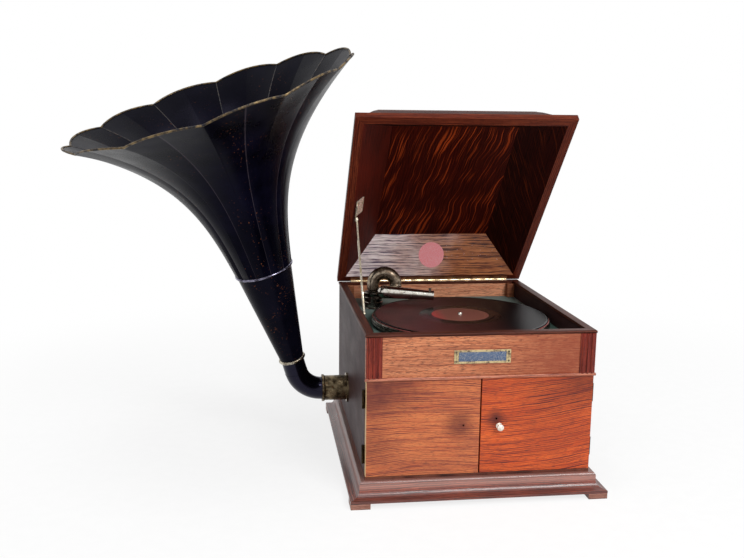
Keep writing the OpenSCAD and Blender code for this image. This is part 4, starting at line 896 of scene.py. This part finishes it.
BELL_INPUTS = [
    ("Length", "NodeSocketFloat", 0.2975), ("Start", "NodeSocketFloat", 0.2435),
    ("Throat Radius", "NodeSocketFloat", 0.0492), ("Mouth Radius", "NodeSocketFloat", 0.237),
    ("Slope", "NodeSocketFloat", 0.17), ("Flare Power", "NodeSocketFloat", 3.2),
    ("Petals", "NodeSocketFloat", 12.0), ("Petal Depth", "NodeSocketFloat", 0.007),
    ("Mouth Tilt", "NodeSocketFloat", 0.0105), ("Lift", "NodeSocketFloat", 0.0),
]


def bell_shape_group():
    """Moves points laid out as (part of the length, part of a turn) onto the flared bell."""
    group = bpy.data.node_groups.get("bell_shape")
    if group:
        return group
    group, g = new_group("bell_shape", [("Geometry", "NodeSocketGeometry", None)] + BELL_INPUTS)
    laid = add(group, "ShaderNodeSeparateXYZ", {0: add(group, "GeometryNodeInputPosition")})
    along, around = laid["X"], laid["Y"]
    length, depth = g["Length"], g["Petal Depth"]
    # rows crowd towards the mouth, where the metal turns over
    x = length * (1.0 - (1.0 - along) ** 1.5)
    share = x / length
    cell = add(group, "ShaderNodeMath", {0: around * g["Petals"]}, operation="FRACT") - 0.5
    cell = add(group, "ShaderNodeMath", {0: cell}, operation="ABSOLUTE")
    petal = 1.0 - (cell * 2.0) ** 2.0
    straight = g["Throat Radius"] + g["Slope"] * x
    spare = g["Mouth Radius"] - g["Throat Radius"] - g["Slope"] * length
    radius = straight + spare * share ** g["Flare Power"]
    radius = radius + depth * share ** 1.2 * petal + g["Lift"]
    angle = around * (2 * math.pi)
    sine, cosine = (add(group, "ShaderNodeMath", {0: angle}, operation=wave)
                    for wave in ("SINE", "COSINE"))
    scallop = depth * share ** 4.0 * petal
    tilt = g["Mouth Tilt"] * cosine * share ** 3.0
    spot = add(group, "ShaderNodeCombineXYZ", {
        0: radius * cosine, 1: radius * sine, 2: g["Start"] + x + (scallop + tilt)})
    moved = add(group, "GeometryNodeSetPosition", {"Geometry": g["Geometry"], "Position": spot})
    add(group, "NodeGroupOutput", {0: moved})
    return group


def bell_from(group, g, geometry):
    """Runs laid-out geometry through the bell shape."""
    inputs = {item[0]: g[item[0]] for item in BELL_INPUTS}
    return add(group, "GeometryNodeGroup", {"Geometry": geometry, **inputs},
               node_tree=bell_shape_group())


def finish_group(group, geometry, finish_name):
    real = add(group, "GeometryNodeRealizeInstances", {"Geometry": geometry})
    add(group, "NodeGroupOutput", {0: add(group, "GeometryNodeSetMaterial", {
        "Geometry": real, "Material": finish(finish_name)})})
    return group


def bell_sheet_group(rows, turns):
    group, g = new_group("bell_sheet", BELL_INPUTS)
    grid = add(group, "GeometryNodeMeshGrid", {
        "Size X": 1.0, "Size Y": 1.0, "Vertices X": rows, "Vertices Y": turns + 1})
    shifted = add(group, "GeometryNodeSetPosition", {"Geometry": grid, "Offset": (0.5, 0.5, 0.0)})
    weld = add(group, "GeometryNodeMergeByDistance", {
        "Geometry": bell_from(group, g, shifted), "Distance": 1e-6})
    return finish_group(group, weld, "bell_enamel")


def laid_line(group, start, end, count):
    line = add(group, "GeometryNodeCurvePrimitiveLine", {"Start": start, "End": end})
    return add(group, "GeometryNodeResampleCurve", {"Curve": line, "Count": count})


def made_round(group, curve, sides, radius, caps, finish_name):
    """A line becomes a round wire."""
    ring = add(group, "GeometryNodeCurvePrimitiveCircle", {"Resolution": sides, "Radius": radius})
    made = add(group, "GeometryNodeCurveToMesh", {
        "Curve": curve, "Profile Curve": ring, "Fill Caps": caps})
    return finish_group(group, made, finish_name)


def bell_seams_group():
    """Twelve folded seams: a line is repeated at each seam, laid on the bell and made round."""
    group, g = new_group("bell_seams", BELL_INPUTS + [("Seam Radius", "NodeSocketFloat", 0.0008)])
    fine = laid_line(group, (0, 0, 0), (1, 0, 0), 72)
    places = add(group, "GeometryNodeMeshLine", {
        "Count": 12, "Start Location": (0, 1e-5, 0), "Offset": (0, 1 / 12, 0)})
    copies = add(group, "GeometryNodeInstanceOnPoints", {"Points": places, "Instance": fine})
    real = add(group, "GeometryNodeRealizeInstances", {"Geometry": copies})
    return made_round(group, bell_from(group, g, real), 8, g["Seam Radius"], True, "seam_line")


def bell_rim_group():
    """The rolled rim: one closed line round the petals, made round."""
    group, g = new_group("bell_rim", BELL_INPUTS + [("Bead Radius", "NodeSocketFloat", 0.0017)])
    shape = bell_from(group, g, laid_line(group, (1, 0, 0), (1, 1 - 1 / 384, 0), 384))
    loop = add(group, "GeometryNodeSetSplineCyclic", {"Geometry": shape, "Cyclic": True})
    return made_round(group, loop, 12, g["Bead Radius"], False, "gilt_line")


def row_group(name, source, finish_name):
    """Copies of one small piece in a straight row, each turned a little differently."""
    group, g = new_group(name, [
        ("Count", "NodeSocketInt", 7), ("Start", "NodeSocketVector", None),
        ("Step", "NodeSocketVector", None), ("Seed", "NodeSocketInt", 3)])
    places = add(group, "GeometryNodeMeshLine", {
        "Count": g["Count"], "Start Location": g["Start"], "Offset": g["Step"]})
    piece = add(group, "GeometryNodeObjectInfo", {"Object": source})["Geometry"]
    random_turn = add(group, "FunctionNodeRandomValue", {
        "Min": 0.0, "Max": math.pi, "Seed": g["Seed"]}, data_type="FLOAT")
    spin = add(group, "ShaderNodeCombineXYZ", {2: random_turn})
    copies = add(group, "GeometryNodeInstanceOnPoints", {
        "Points": places, "Instance": piece, "Rotation": spin})
    return finish_group(group, copies, finish_name)




# Settings


def length(text, value_mm, about):
    return bpy.props.FloatProperty(name=text, description=about, default=value_mm * MM,
                                   subtype="DISTANCE", unit="LENGTH", precision=5)


class BellSettings(bpy.types.PropertyGroup):
    """Sizes of the petal bell."""
    bell_length: length("Length", 297.5, "From the joint ring to the rim, along the horn")
    start: length("Start", 243.5, "From the elbow's corner to the joint ring")
    throat: length("Throat radius", 49.2, "Radius at the joint ring")
    mouth: length("Mouth radius", 237.0, "Radius at the rim, on a seam")
    slope: bpy.props.FloatProperty(name="Slope", description="Taper before the flare",
                                   default=0.17)
    power: bpy.props.FloatProperty(name="Flare power", description="How late the bell turns over",
                                   default=3.2)
    petals: bpy.props.IntProperty(name="Petals", description="Number of petals", default=12)
    depth: length("Petal depth", 7.0, "How far a petal stands past its seams")
    tilt: length("Mouth tilt", 10.5, "How far the rim leans along the horn")
    seam: length("Seam radius", 0.8, "Radius of the folded seams")
    bead: length("Rim radius", 1.7, "Radius of the rolled rim")
    sheet: length("Sheet", 1.2, "Thickness of the tinplate")
    rows: bpy.props.IntProperty(name="Rows", description="Points along the bell", default=72)
    turns: bpy.props.IntProperty(name="Turns", description="Points round the bell", default=288)


class CaseSettings(bpy.types.PropertyGroup):
    """How worn the case is."""
    edge: length("Edge wear", 0.6, "How far the corners of the boards are rubbed round")
    moulding_edge: length("Moulding wear", 0.5, "Rounding of the moulding corners")
    screw: length("Hinge screw", 2.6, "Radius of the hinge screw heads")


class DiscSettings(bpy.types.PropertyGroup):
    """Sizes of the record and its label."""
    radius: length("Record radius", 152.4, "A twelve-inch record")
    label: length("Label radius", 50.0, "Radius of the paper label")


class StageSettings(bpy.types.PropertyGroup):
    """Light and floor."""
    key: bpy.props.FloatProperty(name="Key", description="Power of the soft key light",
                                 default=88.0, unit="POWER")
    fill: bpy.props.FloatProperty(name="Fill", description="Strength of the surrounding light",
                                  default=0.42)


def bell_values(cfg):
    return {"Length": cfg.bell_length, "Start": cfg.start, "Throat Radius": cfg.throat,
            "Mouth Radius": cfg.mouth, "Slope": cfg.slope, "Flare Power": cfg.power,
            "Petals": float(cfg.petals), "Petal Depth": cfg.depth, "Mouth Tilt": cfg.tilt,
            "Seam Radius": cfg.seam, "Bead Radius": cfg.bead}


def moved(obj, matrix):
    """Takes a new piece to its place by a matrix in millimetres."""
    in_metres = matrix.copy()
    in_metres.translation *= MM
    obj.data.transform(in_metres)
    return obj


def slotted_screw(name, radius):
    """Countersunk screw head with a slot, on the Z axis, its rim at zero height."""
    half_slot, depth, dome = 0.35, 1.6, 0.1
    outline = [(0, -depth), (radius * 0.5, -depth), (radius, -0.3), (radius, 0.0),
               (radius * 0.8, dome * 0.7), (0, dome)]
    verts, faces = revolve(rounded(outline, 0.15), 32)
    obj = face_out(mesh_piece(name, verts, faces, angle=40))
    cut_v, cut_f = boxes((-radius * 1.1, -half_slot, -0.35, radius * 1.1, half_slot, 2))
    cutter = mesh_piece(name + "_cut", cut_v, cut_f)
    mod = obj.modifiers.new("slot", "BOOLEAN")
    mod.object = cutter
    mod.operation = "DIFFERENCE"
    graph = bpy.context.evaluated_depsgraph_get()
    mesh = bpy.data.meshes.new_from_object(obj.evaluated_get(graph))
    obj.modifiers.clear()
    bpy.data.objects.remove(cutter)
    obj.data = mesh
    return obj


def screw_row(name, source, height, matrix, body, stands_for, seed):
    """The screws along one leaf of the hinge."""
    start = (-145.0, HALF_D - 7.4, height)
    obj = made_plain(name, row_group(name + "_row", source, "screw_steel"), {
        "Count": 7, "Start": tuple(c * MM for c in start), "Step": (SCREW_STEP * MM, 0, 0),
        "Seed": seed})
    return dress(moved(obj, matrix), "screw_steel", body, [stands_for])


def seen_directly(tree):
    """1 for rays from the camera and for mirrored and clear ones, 0 for those that light."""
    path = add(tree, "ShaderNodeLightPath")
    seen = path["Is Camera Ray"]
    for kind in ("Is Glossy Ray", "Is Transmission Ray"):
        seen = add(tree, "ShaderNodeMath", {0: seen, 1: path[kind]}, operation="MAXIMUM")
    return seen


# Operators: one for each group of pieces


class GRAM_OT_case(bpy.types.Operator):
    """Case boards, cleats, posts and front frieze."""
    bl_idname = "gramophone.case"
    bl_label = "Dress the case"

    def execute(self, context):
        edge = context.scene.gramophone_case.edge / MM
        paint("side_oak", "side_left", "side_right", worn_mm=edge)
        paint("back_oak", "back_panel", worn_mm=edge)
        paint("inner_oak", "rear_posts", worn_mm=edge)
        paint("bottom_oak", "bottom_board", worn_mm=edge)
        paint("cleat_pine", "board_cleats", worn_mm=edge)
        paint("foot_oak", "corner_feet", worn_mm=edge)
        paint("frieze_oak", "front_rail", worn_mm=edge * 0.5)
        paint("strip_oak", "rail_strip", worn_mm=0.4)
        paint("pilaster_oak", "pilasters")
        paint("inner_oak", "motor_board")
        paint("green_baize", "baize_cover")
        return {"FINISHED"}


class GRAM_OT_mouldings(bpy.types.Operator):
    """Plinth and rim, run as mouldings and mitred at the corners."""
    bl_idname = "gramophone.mouldings"
    bl_label = "Run the mouldings"

    def execute(self, context):
        wear = context.scene.gramophone_case.moulding_edge / MM
        f, z = FOOT_H, FLOOR_Z
        cove = eased([(-22.8, f + 4.6), (-18.6, f + 5.4), (-14.6, f + 7), (-11.8, f + 9.4),
                      (-10, f + 12.6), (-9.3, f + 16.3)])
        profile = [(18, f), (-24.5, f), (-24.5, f + 3.8)] + cove + [
            (-9.3, z + 4), (-8.8, z + 6), (-7.8, z + 7.3), (-6, z + 8.4), (-0.02, z + 8.4),
            (-0.02, z), (18, z)]
        v, faces, uvs = mitred_frame(HALF_W, HALF_D, rounded(profile, wear))[:3]
        dress(mesh_piece("plinth_run", v, faces, uvs, 30), "moulding_oak", "cabinet",
              ["plinth_moulding"])

        r, b = RIM_Z0, BODY_H
        profile = rounded([(13, r), (-0.4, r), (-1.2, r + 0.8), (-1.6, r + 2.2), (-1.4, r + 3.6),
                           (-0.6, b - 0.4), (0.4, b), (13, b)], wear)
        v, faces, uvs = mitred_frame(HALF_W, HALF_D, profile)[:3]
        dress(mesh_piece("rim_run", v, faces, uvs, 35), "rim_oak", "cabinet", ["rim_moulding"])
        return {"FINISHED"}


class GRAM_OT_doors(bpy.types.Operator):
    """Doors, their leaves and the one knob."""
    bl_idname = "gramophone.doors"
    bl_label = "Hang the doors"

    def execute(self, context):
        paint("door_left_oak", "door_left", worn_mm=0.8)
        paint("door_right_oak", "door_right", worn_mm=0.8)
        paint("door_brass", "door_side_leaves", "door_left_leaves", "door_right_leaves")
        outline = [(0, -9), (1.7, -9), (1.7, 0), (5.1, 0)] + eased([
            (5.1, 0.9), (3.4, 1.4), (2.5, 2.4), (2.4, 4.4), (3.4, 6.0), (4.9, 7.2), (5.7, 8.8),
            (5.2, 10.5), (3.6, 11.6), (1.6, 12.1)]) + [(0, 12.2)]
        knob = turned("door_pull", outline, shift(*KNOB_AT) @ turn(math.pi / 2, "X"), 64,
                      0.2, 50)
        dress(knob, "knob_nickel", "right_door", ["door_knob"])
        return {"FINISHED"}


class GRAM_OT_lid(bpy.types.Operator):
    """Hood lid: coved walls, mitred top and the ceiling board."""
    bl_idname = "gramophone.lid"
    bl_label = "Build the lid"

    def execute(self, context):
        wear = context.scene.gramophone_case.moulding_edge / MM
        cove = eased([(8.4, 13), (14.6, 21.4), (22.7, 33), (26.6, 38.4), (32.4, 47.6), (39, 58),
                      (44.8, 65.8)])
        profile = rounded([(0, 0), (0, 10.2), (0.6, 11.6), (2.4, 12.6)] + cove + [
            (SLOPE_IN, HOLLOW + 7), (SLOPE_IN, HOLLOW), (RIM_FACE, 0)], wear)
        lifted = [(x, z + LID_Z) for x, z in profile]

        def pick(side, i):
            a, b = profile[i], profile[(i + 1) % len(profile)]
            if min(a[0], b[0]) > RIM_FACE - 1 and a[1] < HOLLOW + 0.2 and b[1] < HOLLOW + 0.2:
                return 2 + side
            return 0 if max(a[1], b[1]) < 12.8 else 1

        v, faces, uvs, slots = mitred_frame(LID_HW, LID_D / 2, lifted, HALF_D - LID_D / 2, pick)
        obj = mesh_piece("hood_walls", placed(v, OPENED), faces, uvs, 30, slots)
        dress(obj, ["lid_edge_oak", "lid_out_oak", "lid_front_slope_oak", "lid_right_slope_oak",
                    "lid_back_slope_oak", "lid_left_slope_oak"], "lid", ["lid_walls"])

        h = HOLLOW
        profile = rounded([(46, h + 7.02), (46.6, h + 9.6), (48.6, h + 12), (50.4, h + 12.6),
                           (50.8, h + 14.6), (52.6, h + 15.4), (66, h + 15.4), (66, h + 7.02)],
                          wear)
        lifted = [(x, z + LID_Z) for x, z in profile]
        v, faces, uvs = mitred_frame(LID_HW, LID_D / 2, lifted, HALF_D - LID_D / 2)[:3]
        board = boxes((-LID_HW + 66, HALF_D - LID_D + 66, LID_Z + h + 7.02,
                       LID_HW - 66, HALF_D - 66, LID_Z + h + 15.2))
        n = len(v)
        uvs += [[(board[0][i][1] * MM, board[0][i][0] * MM + 2) for i in f] for f in board[1]]
        faces += [[n + i for i in f] for f in board[1]]
        obj = mesh_piece("hood_top", placed(v + [Vector(p) for p in board[0]], OPENED), faces,
                         uvs, 30)
        dress(obj, "lid_out_oak", "lid", ["lid_top_board"])

        x, y0, y1 = LID_HW - SLOPE_IN, HALF_D - LID_D + SLOPE_IN, HALF_D - SLOPE_IN
        v, faces = boxes((-x, y0, LID_Z + h, x, y1, LID_Z + h + 7))
        uvs = [[(v[i][1] * MM, v[i][0] * MM) for i in f] for f in faces]
        obj = mesh_piece("hood_ceiling", placed([Vector(p) for p in v], OPENED), faces, uvs)
        dress(obj, "lid_ceiling_oak", "lid", ["lid_ceiling"])
        paint("red_sticker", "lid_sticker")
        return {"FINISHED"}


class GRAM_OT_hinge(bpy.types.Operator):
    """Long lid hinge with its knuckles and slotted screws, and the lid stay."""
    bl_idname = "gramophone.hinge"
    bl_label = "Fit the hinge and stay"

    def leaf(self, name, first, z0, matrix, body, node):
        """One leaf: plate and every second knuckle, rolled round the pin."""
        step = HINGE_LEN / KNUCKLES
        verts, faces = boxes((-HINGE_LEN / 2, HALF_D - 11.6, z0, HINGE_LEN / 2, HALF_D - 1.5,
                              z0 + 1.2))
        slots = [0] * len(faces)
        for k in range(first, KNUCKLES, 2):
            x0 = -HINGE_LEN / 2 + k * step + 0.2
            knuckle = [(x0, 1.5), (x0, 3.3), (x0 + 0.3, 3.4), (x0 + step - 0.7, 3.4),
                       (x0 + step - 0.4, 3.3), (x0 + step - 0.4, 1.5)]
            v, f = revolve([(r, x) for x, r in knuckle], 32)
            n = len(verts)
            verts += [(p[2], HALF_D + p[0], PIN_Z + p[1]) for p in v]
            faces += [[n + i for i in q] for q in f]
            slots += [1] * len(f)
        obj = mesh_piece(name, placed([Vector(p) for p in verts], matrix), faces, None, 40, slots)
        face_out(obj)
        return dress(obj, ["hinge_brass", "knuckle_brass"], body, [node])

    def execute(self, context):
        rest = Matrix.Identity(4)
        self.leaf("lower_leaf", 0, BODY_H - 1.08, rest, "cabinet", "box_hinge_leaf")
        self.leaf("upper_leaf", 1, LID_Z - 0.12, OPENED, "lid", "lid_hinge_leaf")
        pin = turned("hinge_pin", [(0, -158.5), (1.45, -158.5), (1.45, 158.5), (0, 158.5)],
                     shift(0, HALF_D, PIN_Z) @ turn(math.pi / 2, "Y"), 24, 0.3)
        dress(pin, "knuckle_brass", "cabinet")
        radius = context.scene.gramophone_case.screw / MM
        head = slotted_screw("screw_head", radius)
        screw_row("lower_screws", head, BODY_H + 0.12, rest, "cabinet", "box_hinge_screws", 3)
        head.data.transform(turn(math.pi, "X"))
        screw_row("upper_screws", head, LID_Z - 0.12, OPENED, "lid", "lid_hinge_screws", 9)
        bpy.data.objects.remove(head)
        paint("stay_nickel", "stay_rod", "stay_bracket")
        paint("door_brass", "stay_track")
        return {"FINISHED"}


class GRAM_OT_turntable(bpy.types.Operator):
    """Platter, felt, record, label and spindle."""
    bl_idname = "gramophone.turntable"
    bl_label = "Lay the record"

    def execute(self, context):
        cfg = context.scene.gramophone_disc
        r, top = cfg.radius / MM, RECORD_TOP
        outline = [(3.65, top - 2.2), (r - 0.7, top - 2.2), (r, top - 1.6), (r, top - 0.6),
                   (r - 0.7, top), (r - 3, top), (r - 3.6, top - 0.22), (60, top - 0.22),
                   (57, top), (3.65, top)]
        disc = turned("record_disc", outline, DISC_FRAME, 192, 0.25, 30)
        dress(disc, "record_shellac", "turntable", ["record"])
        ring = cfg.label / MM
        outline = [(3.7, top), (ring, top), (ring, top + 0.14), (3.7, top + 0.14)]
        label = turned("label_disc", outline, DISC_FRAME, 128, 0.0, 30)
        dress(label, "maroon_label_paper", "turntable", ["record_label"])
        paint("platter_nickel", "platter")
        paint("worn_red_felt", "platter_felt")
        paint("spindle_steel", "turntable_spindle")
        return {"FINISHED"}


class GRAM_OT_tone_arm(bpy.types.Operator):
    """Base, cap, bent neck and the bright tube."""
    bl_idname = "gramophone.tone_arm"
    bl_label = "Fit the tone arm"

    def execute(self, context):
        paint("base_metal", "tonearm_base")
        paint("cap_nickel", "tonearm_cap")
        paint("arm_nickel", "arm_tube")
        paint("screw_steel", "arm_screw")
        paint("neck_nickel", "tonearm_neck")
        return {"FINISHED"}


class GRAM_OT_horn(bpy.types.Operator):
    """Petal bell with folded seams and rolled rim, cone, elbow and collar."""
    bl_idname = "gramophone.horn"
    bl_label = "Raise the horn"

    def execute(self, context):
        cfg = context.scene.gramophone_bell

        def thicken(obj):
            mod = obj.modifiers.new("sheet", "SOLIDIFY")
            mod.thickness = cfg.sheet
            mod.offset = -1.0
            mod.use_even_offset = True

        values = bell_values(cfg)
        sheet = moved(made_plain("petal_bell", bell_sheet_group(cfg.rows, cfg.turns), values,
                                 thicken), BELL_FRAME)
        sheet.data.shade_smooth()
        sheet.data.set_sharp_from_angle(angle=math.radians(60))
        dress(sheet, "bell_enamel", "horn", ["horn_bell"])
        dress(moved(made_plain("petal_seams", bell_seams_group(), values), BELL_FRAME),
              "seam_line", "horn")
        dress(moved(made_plain("petal_rim", bell_rim_group(), values), BELL_FRAME),
              "gilt_line", "horn")
        ring = [(49.6, 239.0), (50.6, 239.4), (51.6, 240.6), (51.8, 241.8), (51.3, 243.0),
                (50.2, 243.9), (48.9, 244.2), (48.9, 239.0)]
        dress(turned("joint_band", eased(ring[:-1]) + ring[-1:], BELL_FRAME, 144, 0.0, 50),
              "joint_ring", "horn")
        low = [(20.5, 60.8), (21.6, 61.0), (23.4, 61.8), (24.4, 63.4), (24.3, 65.0), (23.2, 66.4),
               (21.8, 67.0), (20.5, 67.1)]
        dress(turned("elbow_band", eased(low), BELL_FRAME, 96, 0.0, 50), "nickel_ring", "horn")
        paint("cone_enamel", "horn_cone")
        paint("elbow_enamel", "horn_elbow")
        paint("tarnished_brass", "horn_collar", "collar_nut")
        paint("painted_duct", "sound_duct")
        return {"FINISHED"}


class GRAM_OT_nameplate(bpy.types.Operator):
    """Brass plate with a bare blue field and four screws."""
    bl_idname = "gramophone.nameplate"
    bl_label = "Fix the plate"

    def execute(self, context):
        paint("plate_brass", "nameplate", worn_mm=0.15)
        z = RAIL_Z + 20
        v, faces = boxes((-37.6, -HALF_D - 0.95, z + 3.4, 37.6, -HALF_D - 0.55, z + 18.1))
        field = ease_edges(mesh_piece("plate_field", v, faces), 0.15)
        dress(field, "plate_field", "cabinet")
        paint("screw_steel", "nameplate_screws")
        return {"FINISHED"}


class GRAM_OT_motor(bpy.types.Operator):
    """Spring motor, governor, levers and winding shaft."""
    bl_idname = "gramophone.motor"
    bl_label = "Finish the motor"

    def execute(self, context):
        paint("motor_iron", "motor_frame", "pawl", "speed_lever")
        paint("screw_steel", "motor_bolts")
        paint("motor_brass", "barrel", "mid_arbor", "governor")
        paint("blued_spring_steel", "mainspring")
        paint("spindle_steel", "winding_arbor", "winding_shaft")
        paint("tarnished_brass", "brake_lever")
        return {"FINISHED"}


class GRAM_OT_stage(bpy.types.Operator):
    """Pale floor, soft light and the photograph's camera."""
    bl_idname = "gramophone.stage"
    bl_label = "Set the stage"

    def execute(self, context):
        cfg = context.scene.gramophone_stage
        scene = context.scene
        ends = (-FLOOR_HALF, FLOOR_HALF)
        floor = mesh_piece("floor", [(x, y, 0) for y in ends for x in ends], [[0, 1, 3, 2]])
        mat, tree, shader = new_material("pale_floor")
        coords = add(tree, "ShaderNodeTexCoord")["Object"]
        mottle = add(tree, "ShaderNodeTexNoise", {"Vector": coords, "Scale": 40.0, "Detail": 2.0})
        set_inputs(shader, {
            "Base Color": add(tree, "ShaderNodeValToRGB", {0: mottle}, [(0.4, 0.93), (0.6, 0.97)]),
            "Roughness": 0.9, "Specular IOR Level": 0.1})
        glow = add(tree, "ShaderNodeEmission", {"Color": (1, 1, 1, 1), "Strength": 1.0})
        # the floor keeps the shadow near the case and fades to plain white further out
        share = add(tree, "ShaderNodeMapRange", {
            "Value": add(tree, "ShaderNodeVectorMath", {0: coords}, operation="LENGTH"),
            "From Min": 0.45, "From Max": 1.5, "To Min": 0.80, "To Max": 1.0},
            interpolation_type="SMOOTHSTEP")
        both = add(tree, "ShaderNodeMixShader", {
            0: seen_directly(tree) * share, 1: shader.outputs[0], 2: glow})
        set_inputs(tree.nodes["Material Output"], {"Surface": both})
        floor.data.materials.append(mat)

        world = bpy.data.worlds.new("soft_room")
        scene.world = world
        world.use_nodes = True
        tree = world.node_tree
        set_inputs(tree.nodes["Background"], {
            "Color": (1, 1, 1, 1),
            "Strength": add(tree, "ShaderNodeMapRange", {
                "Value": seen_directly(tree), "To Min": cfg.fill, "To Max": 1.0})})

        for name, spot, aim, size, power in (
                ("key", (1.15, -2.8, 2.55), (0.0, -0.1, 0.2), 1.5, cfg.key),
                ("top", (-0.6, -0.6, 3.2), (0.0, 0.0, 0.2), 1.2, cfg.key * 0.3)):
            data = bpy.data.lights.new(name, "AREA")
            data.size = size
            data.energy = power
            lamp = bpy.data.objects.new(name, data)
            facing = (Vector(aim) - Vector(spot)).to_track_quat("-Z", "Y")
            lamp.matrix_world = shift(*spot) @ facing.to_matrix().to_4x4()
            scene.collection.objects.link(lamp)

        data = bpy.data.cameras.new("camera")
        data.sensor_width = SENSOR_MM
        data.lens = FOCAL_PX / PHOTO_PX * SENSOR_MM
        data.clip_end = 50.0
        camera = bpy.data.objects.new("camera", data)
        yaw, pitch, roll = (math.radians(a) for a in CAMERA_TURNS)
        forward = Vector((math.sin(yaw) * math.cos(pitch), math.cos(yaw) * math.cos(pitch),
                          -math.sin(pitch)))
        level = Vector((math.cos(yaw), -math.sin(yaw), 0))
        above = level.cross(forward)
        right = math.cos(roll) * level + math.sin(roll) * above
        up = -math.sin(roll) * level + math.cos(roll) * above
        camera.matrix_world = Matrix((
            (right.x, up.x, -forward.x, CAMERA_AT[0]), (right.y, up.y, -forward.y, CAMERA_AT[1]),
            (right.z, up.z, -forward.z, CAMERA_AT[2]), (0, 0, 0, 1)))
        scene.collection.objects.link(camera)
        scene.camera = camera
        scene.view_settings.view_transform = "Standard"
        return {"FINISHED"}


OPERATORS = (GRAM_OT_case, GRAM_OT_mouldings, GRAM_OT_doors, GRAM_OT_lid, GRAM_OT_hinge,
             GRAM_OT_turntable, GRAM_OT_tone_arm, GRAM_OT_horn, GRAM_OT_nameplate, GRAM_OT_motor,
             GRAM_OT_stage)


class GRAM_PT_panel(bpy.types.Panel):
    """Buttons and sizes in the sidebar of the 3D view."""
    bl_label = "Gramophone"
    bl_idname = "GRAM_PT_panel"
    bl_space_type = "VIEW_3D"
    bl_region_type = "UI"
    bl_category = "Gramophone"

    def draw(self, context):
        layout = self.layout
        for group in ("gramophone_bell", "gramophone_case", "gramophone_disc", "gramophone_stage"):
            settings = getattr(context.scene, group)
            column = layout.column(align=True)
            for key in type(settings).__annotations__:
                column.prop(settings, key)
        for operator in OPERATORS:
            layout.operator(operator.bl_idname)


SETTINGS = (("gramophone_bell", BellSettings), ("gramophone_case", CaseSettings),
            ("gramophone_disc", DiscSettings), ("gramophone_stage", StageSettings))


def register():
    for name, group in SETTINGS:
        bpy.utils.register_class(group)
        setattr(bpy.types.Scene, name, bpy.props.PointerProperty(type=group))
    for cls in OPERATORS + (GRAM_PT_panel,):
        bpy.utils.register_class(cls)


def unregister():
    for cls in (GRAM_PT_panel,) + tuple(reversed(OPERATORS)):
        bpy.utils.unregister_class(cls)
    for name, group in reversed(SETTINGS):
        delattr(bpy.types.Scene, name)
        bpy.utils.unregister_class(group)


def main():
    register()
    bpy.ops.gramophone.case()
    bpy.ops.gramophone.mouldings()
    bpy.ops.gramophone.doors()
    bpy.ops.gramophone.lid()
    bpy.ops.gramophone.hinge()
    bpy.ops.gramophone.turntable()
    bpy.ops.gramophone.tone_arm()
    bpy.ops.gramophone.horn()
    bpy.ops.gramophone.nameplate()
    bpy.ops.gramophone.motor()
    bpy.ops.gramophone.stage()


if __name__ == "__main__":
    main()
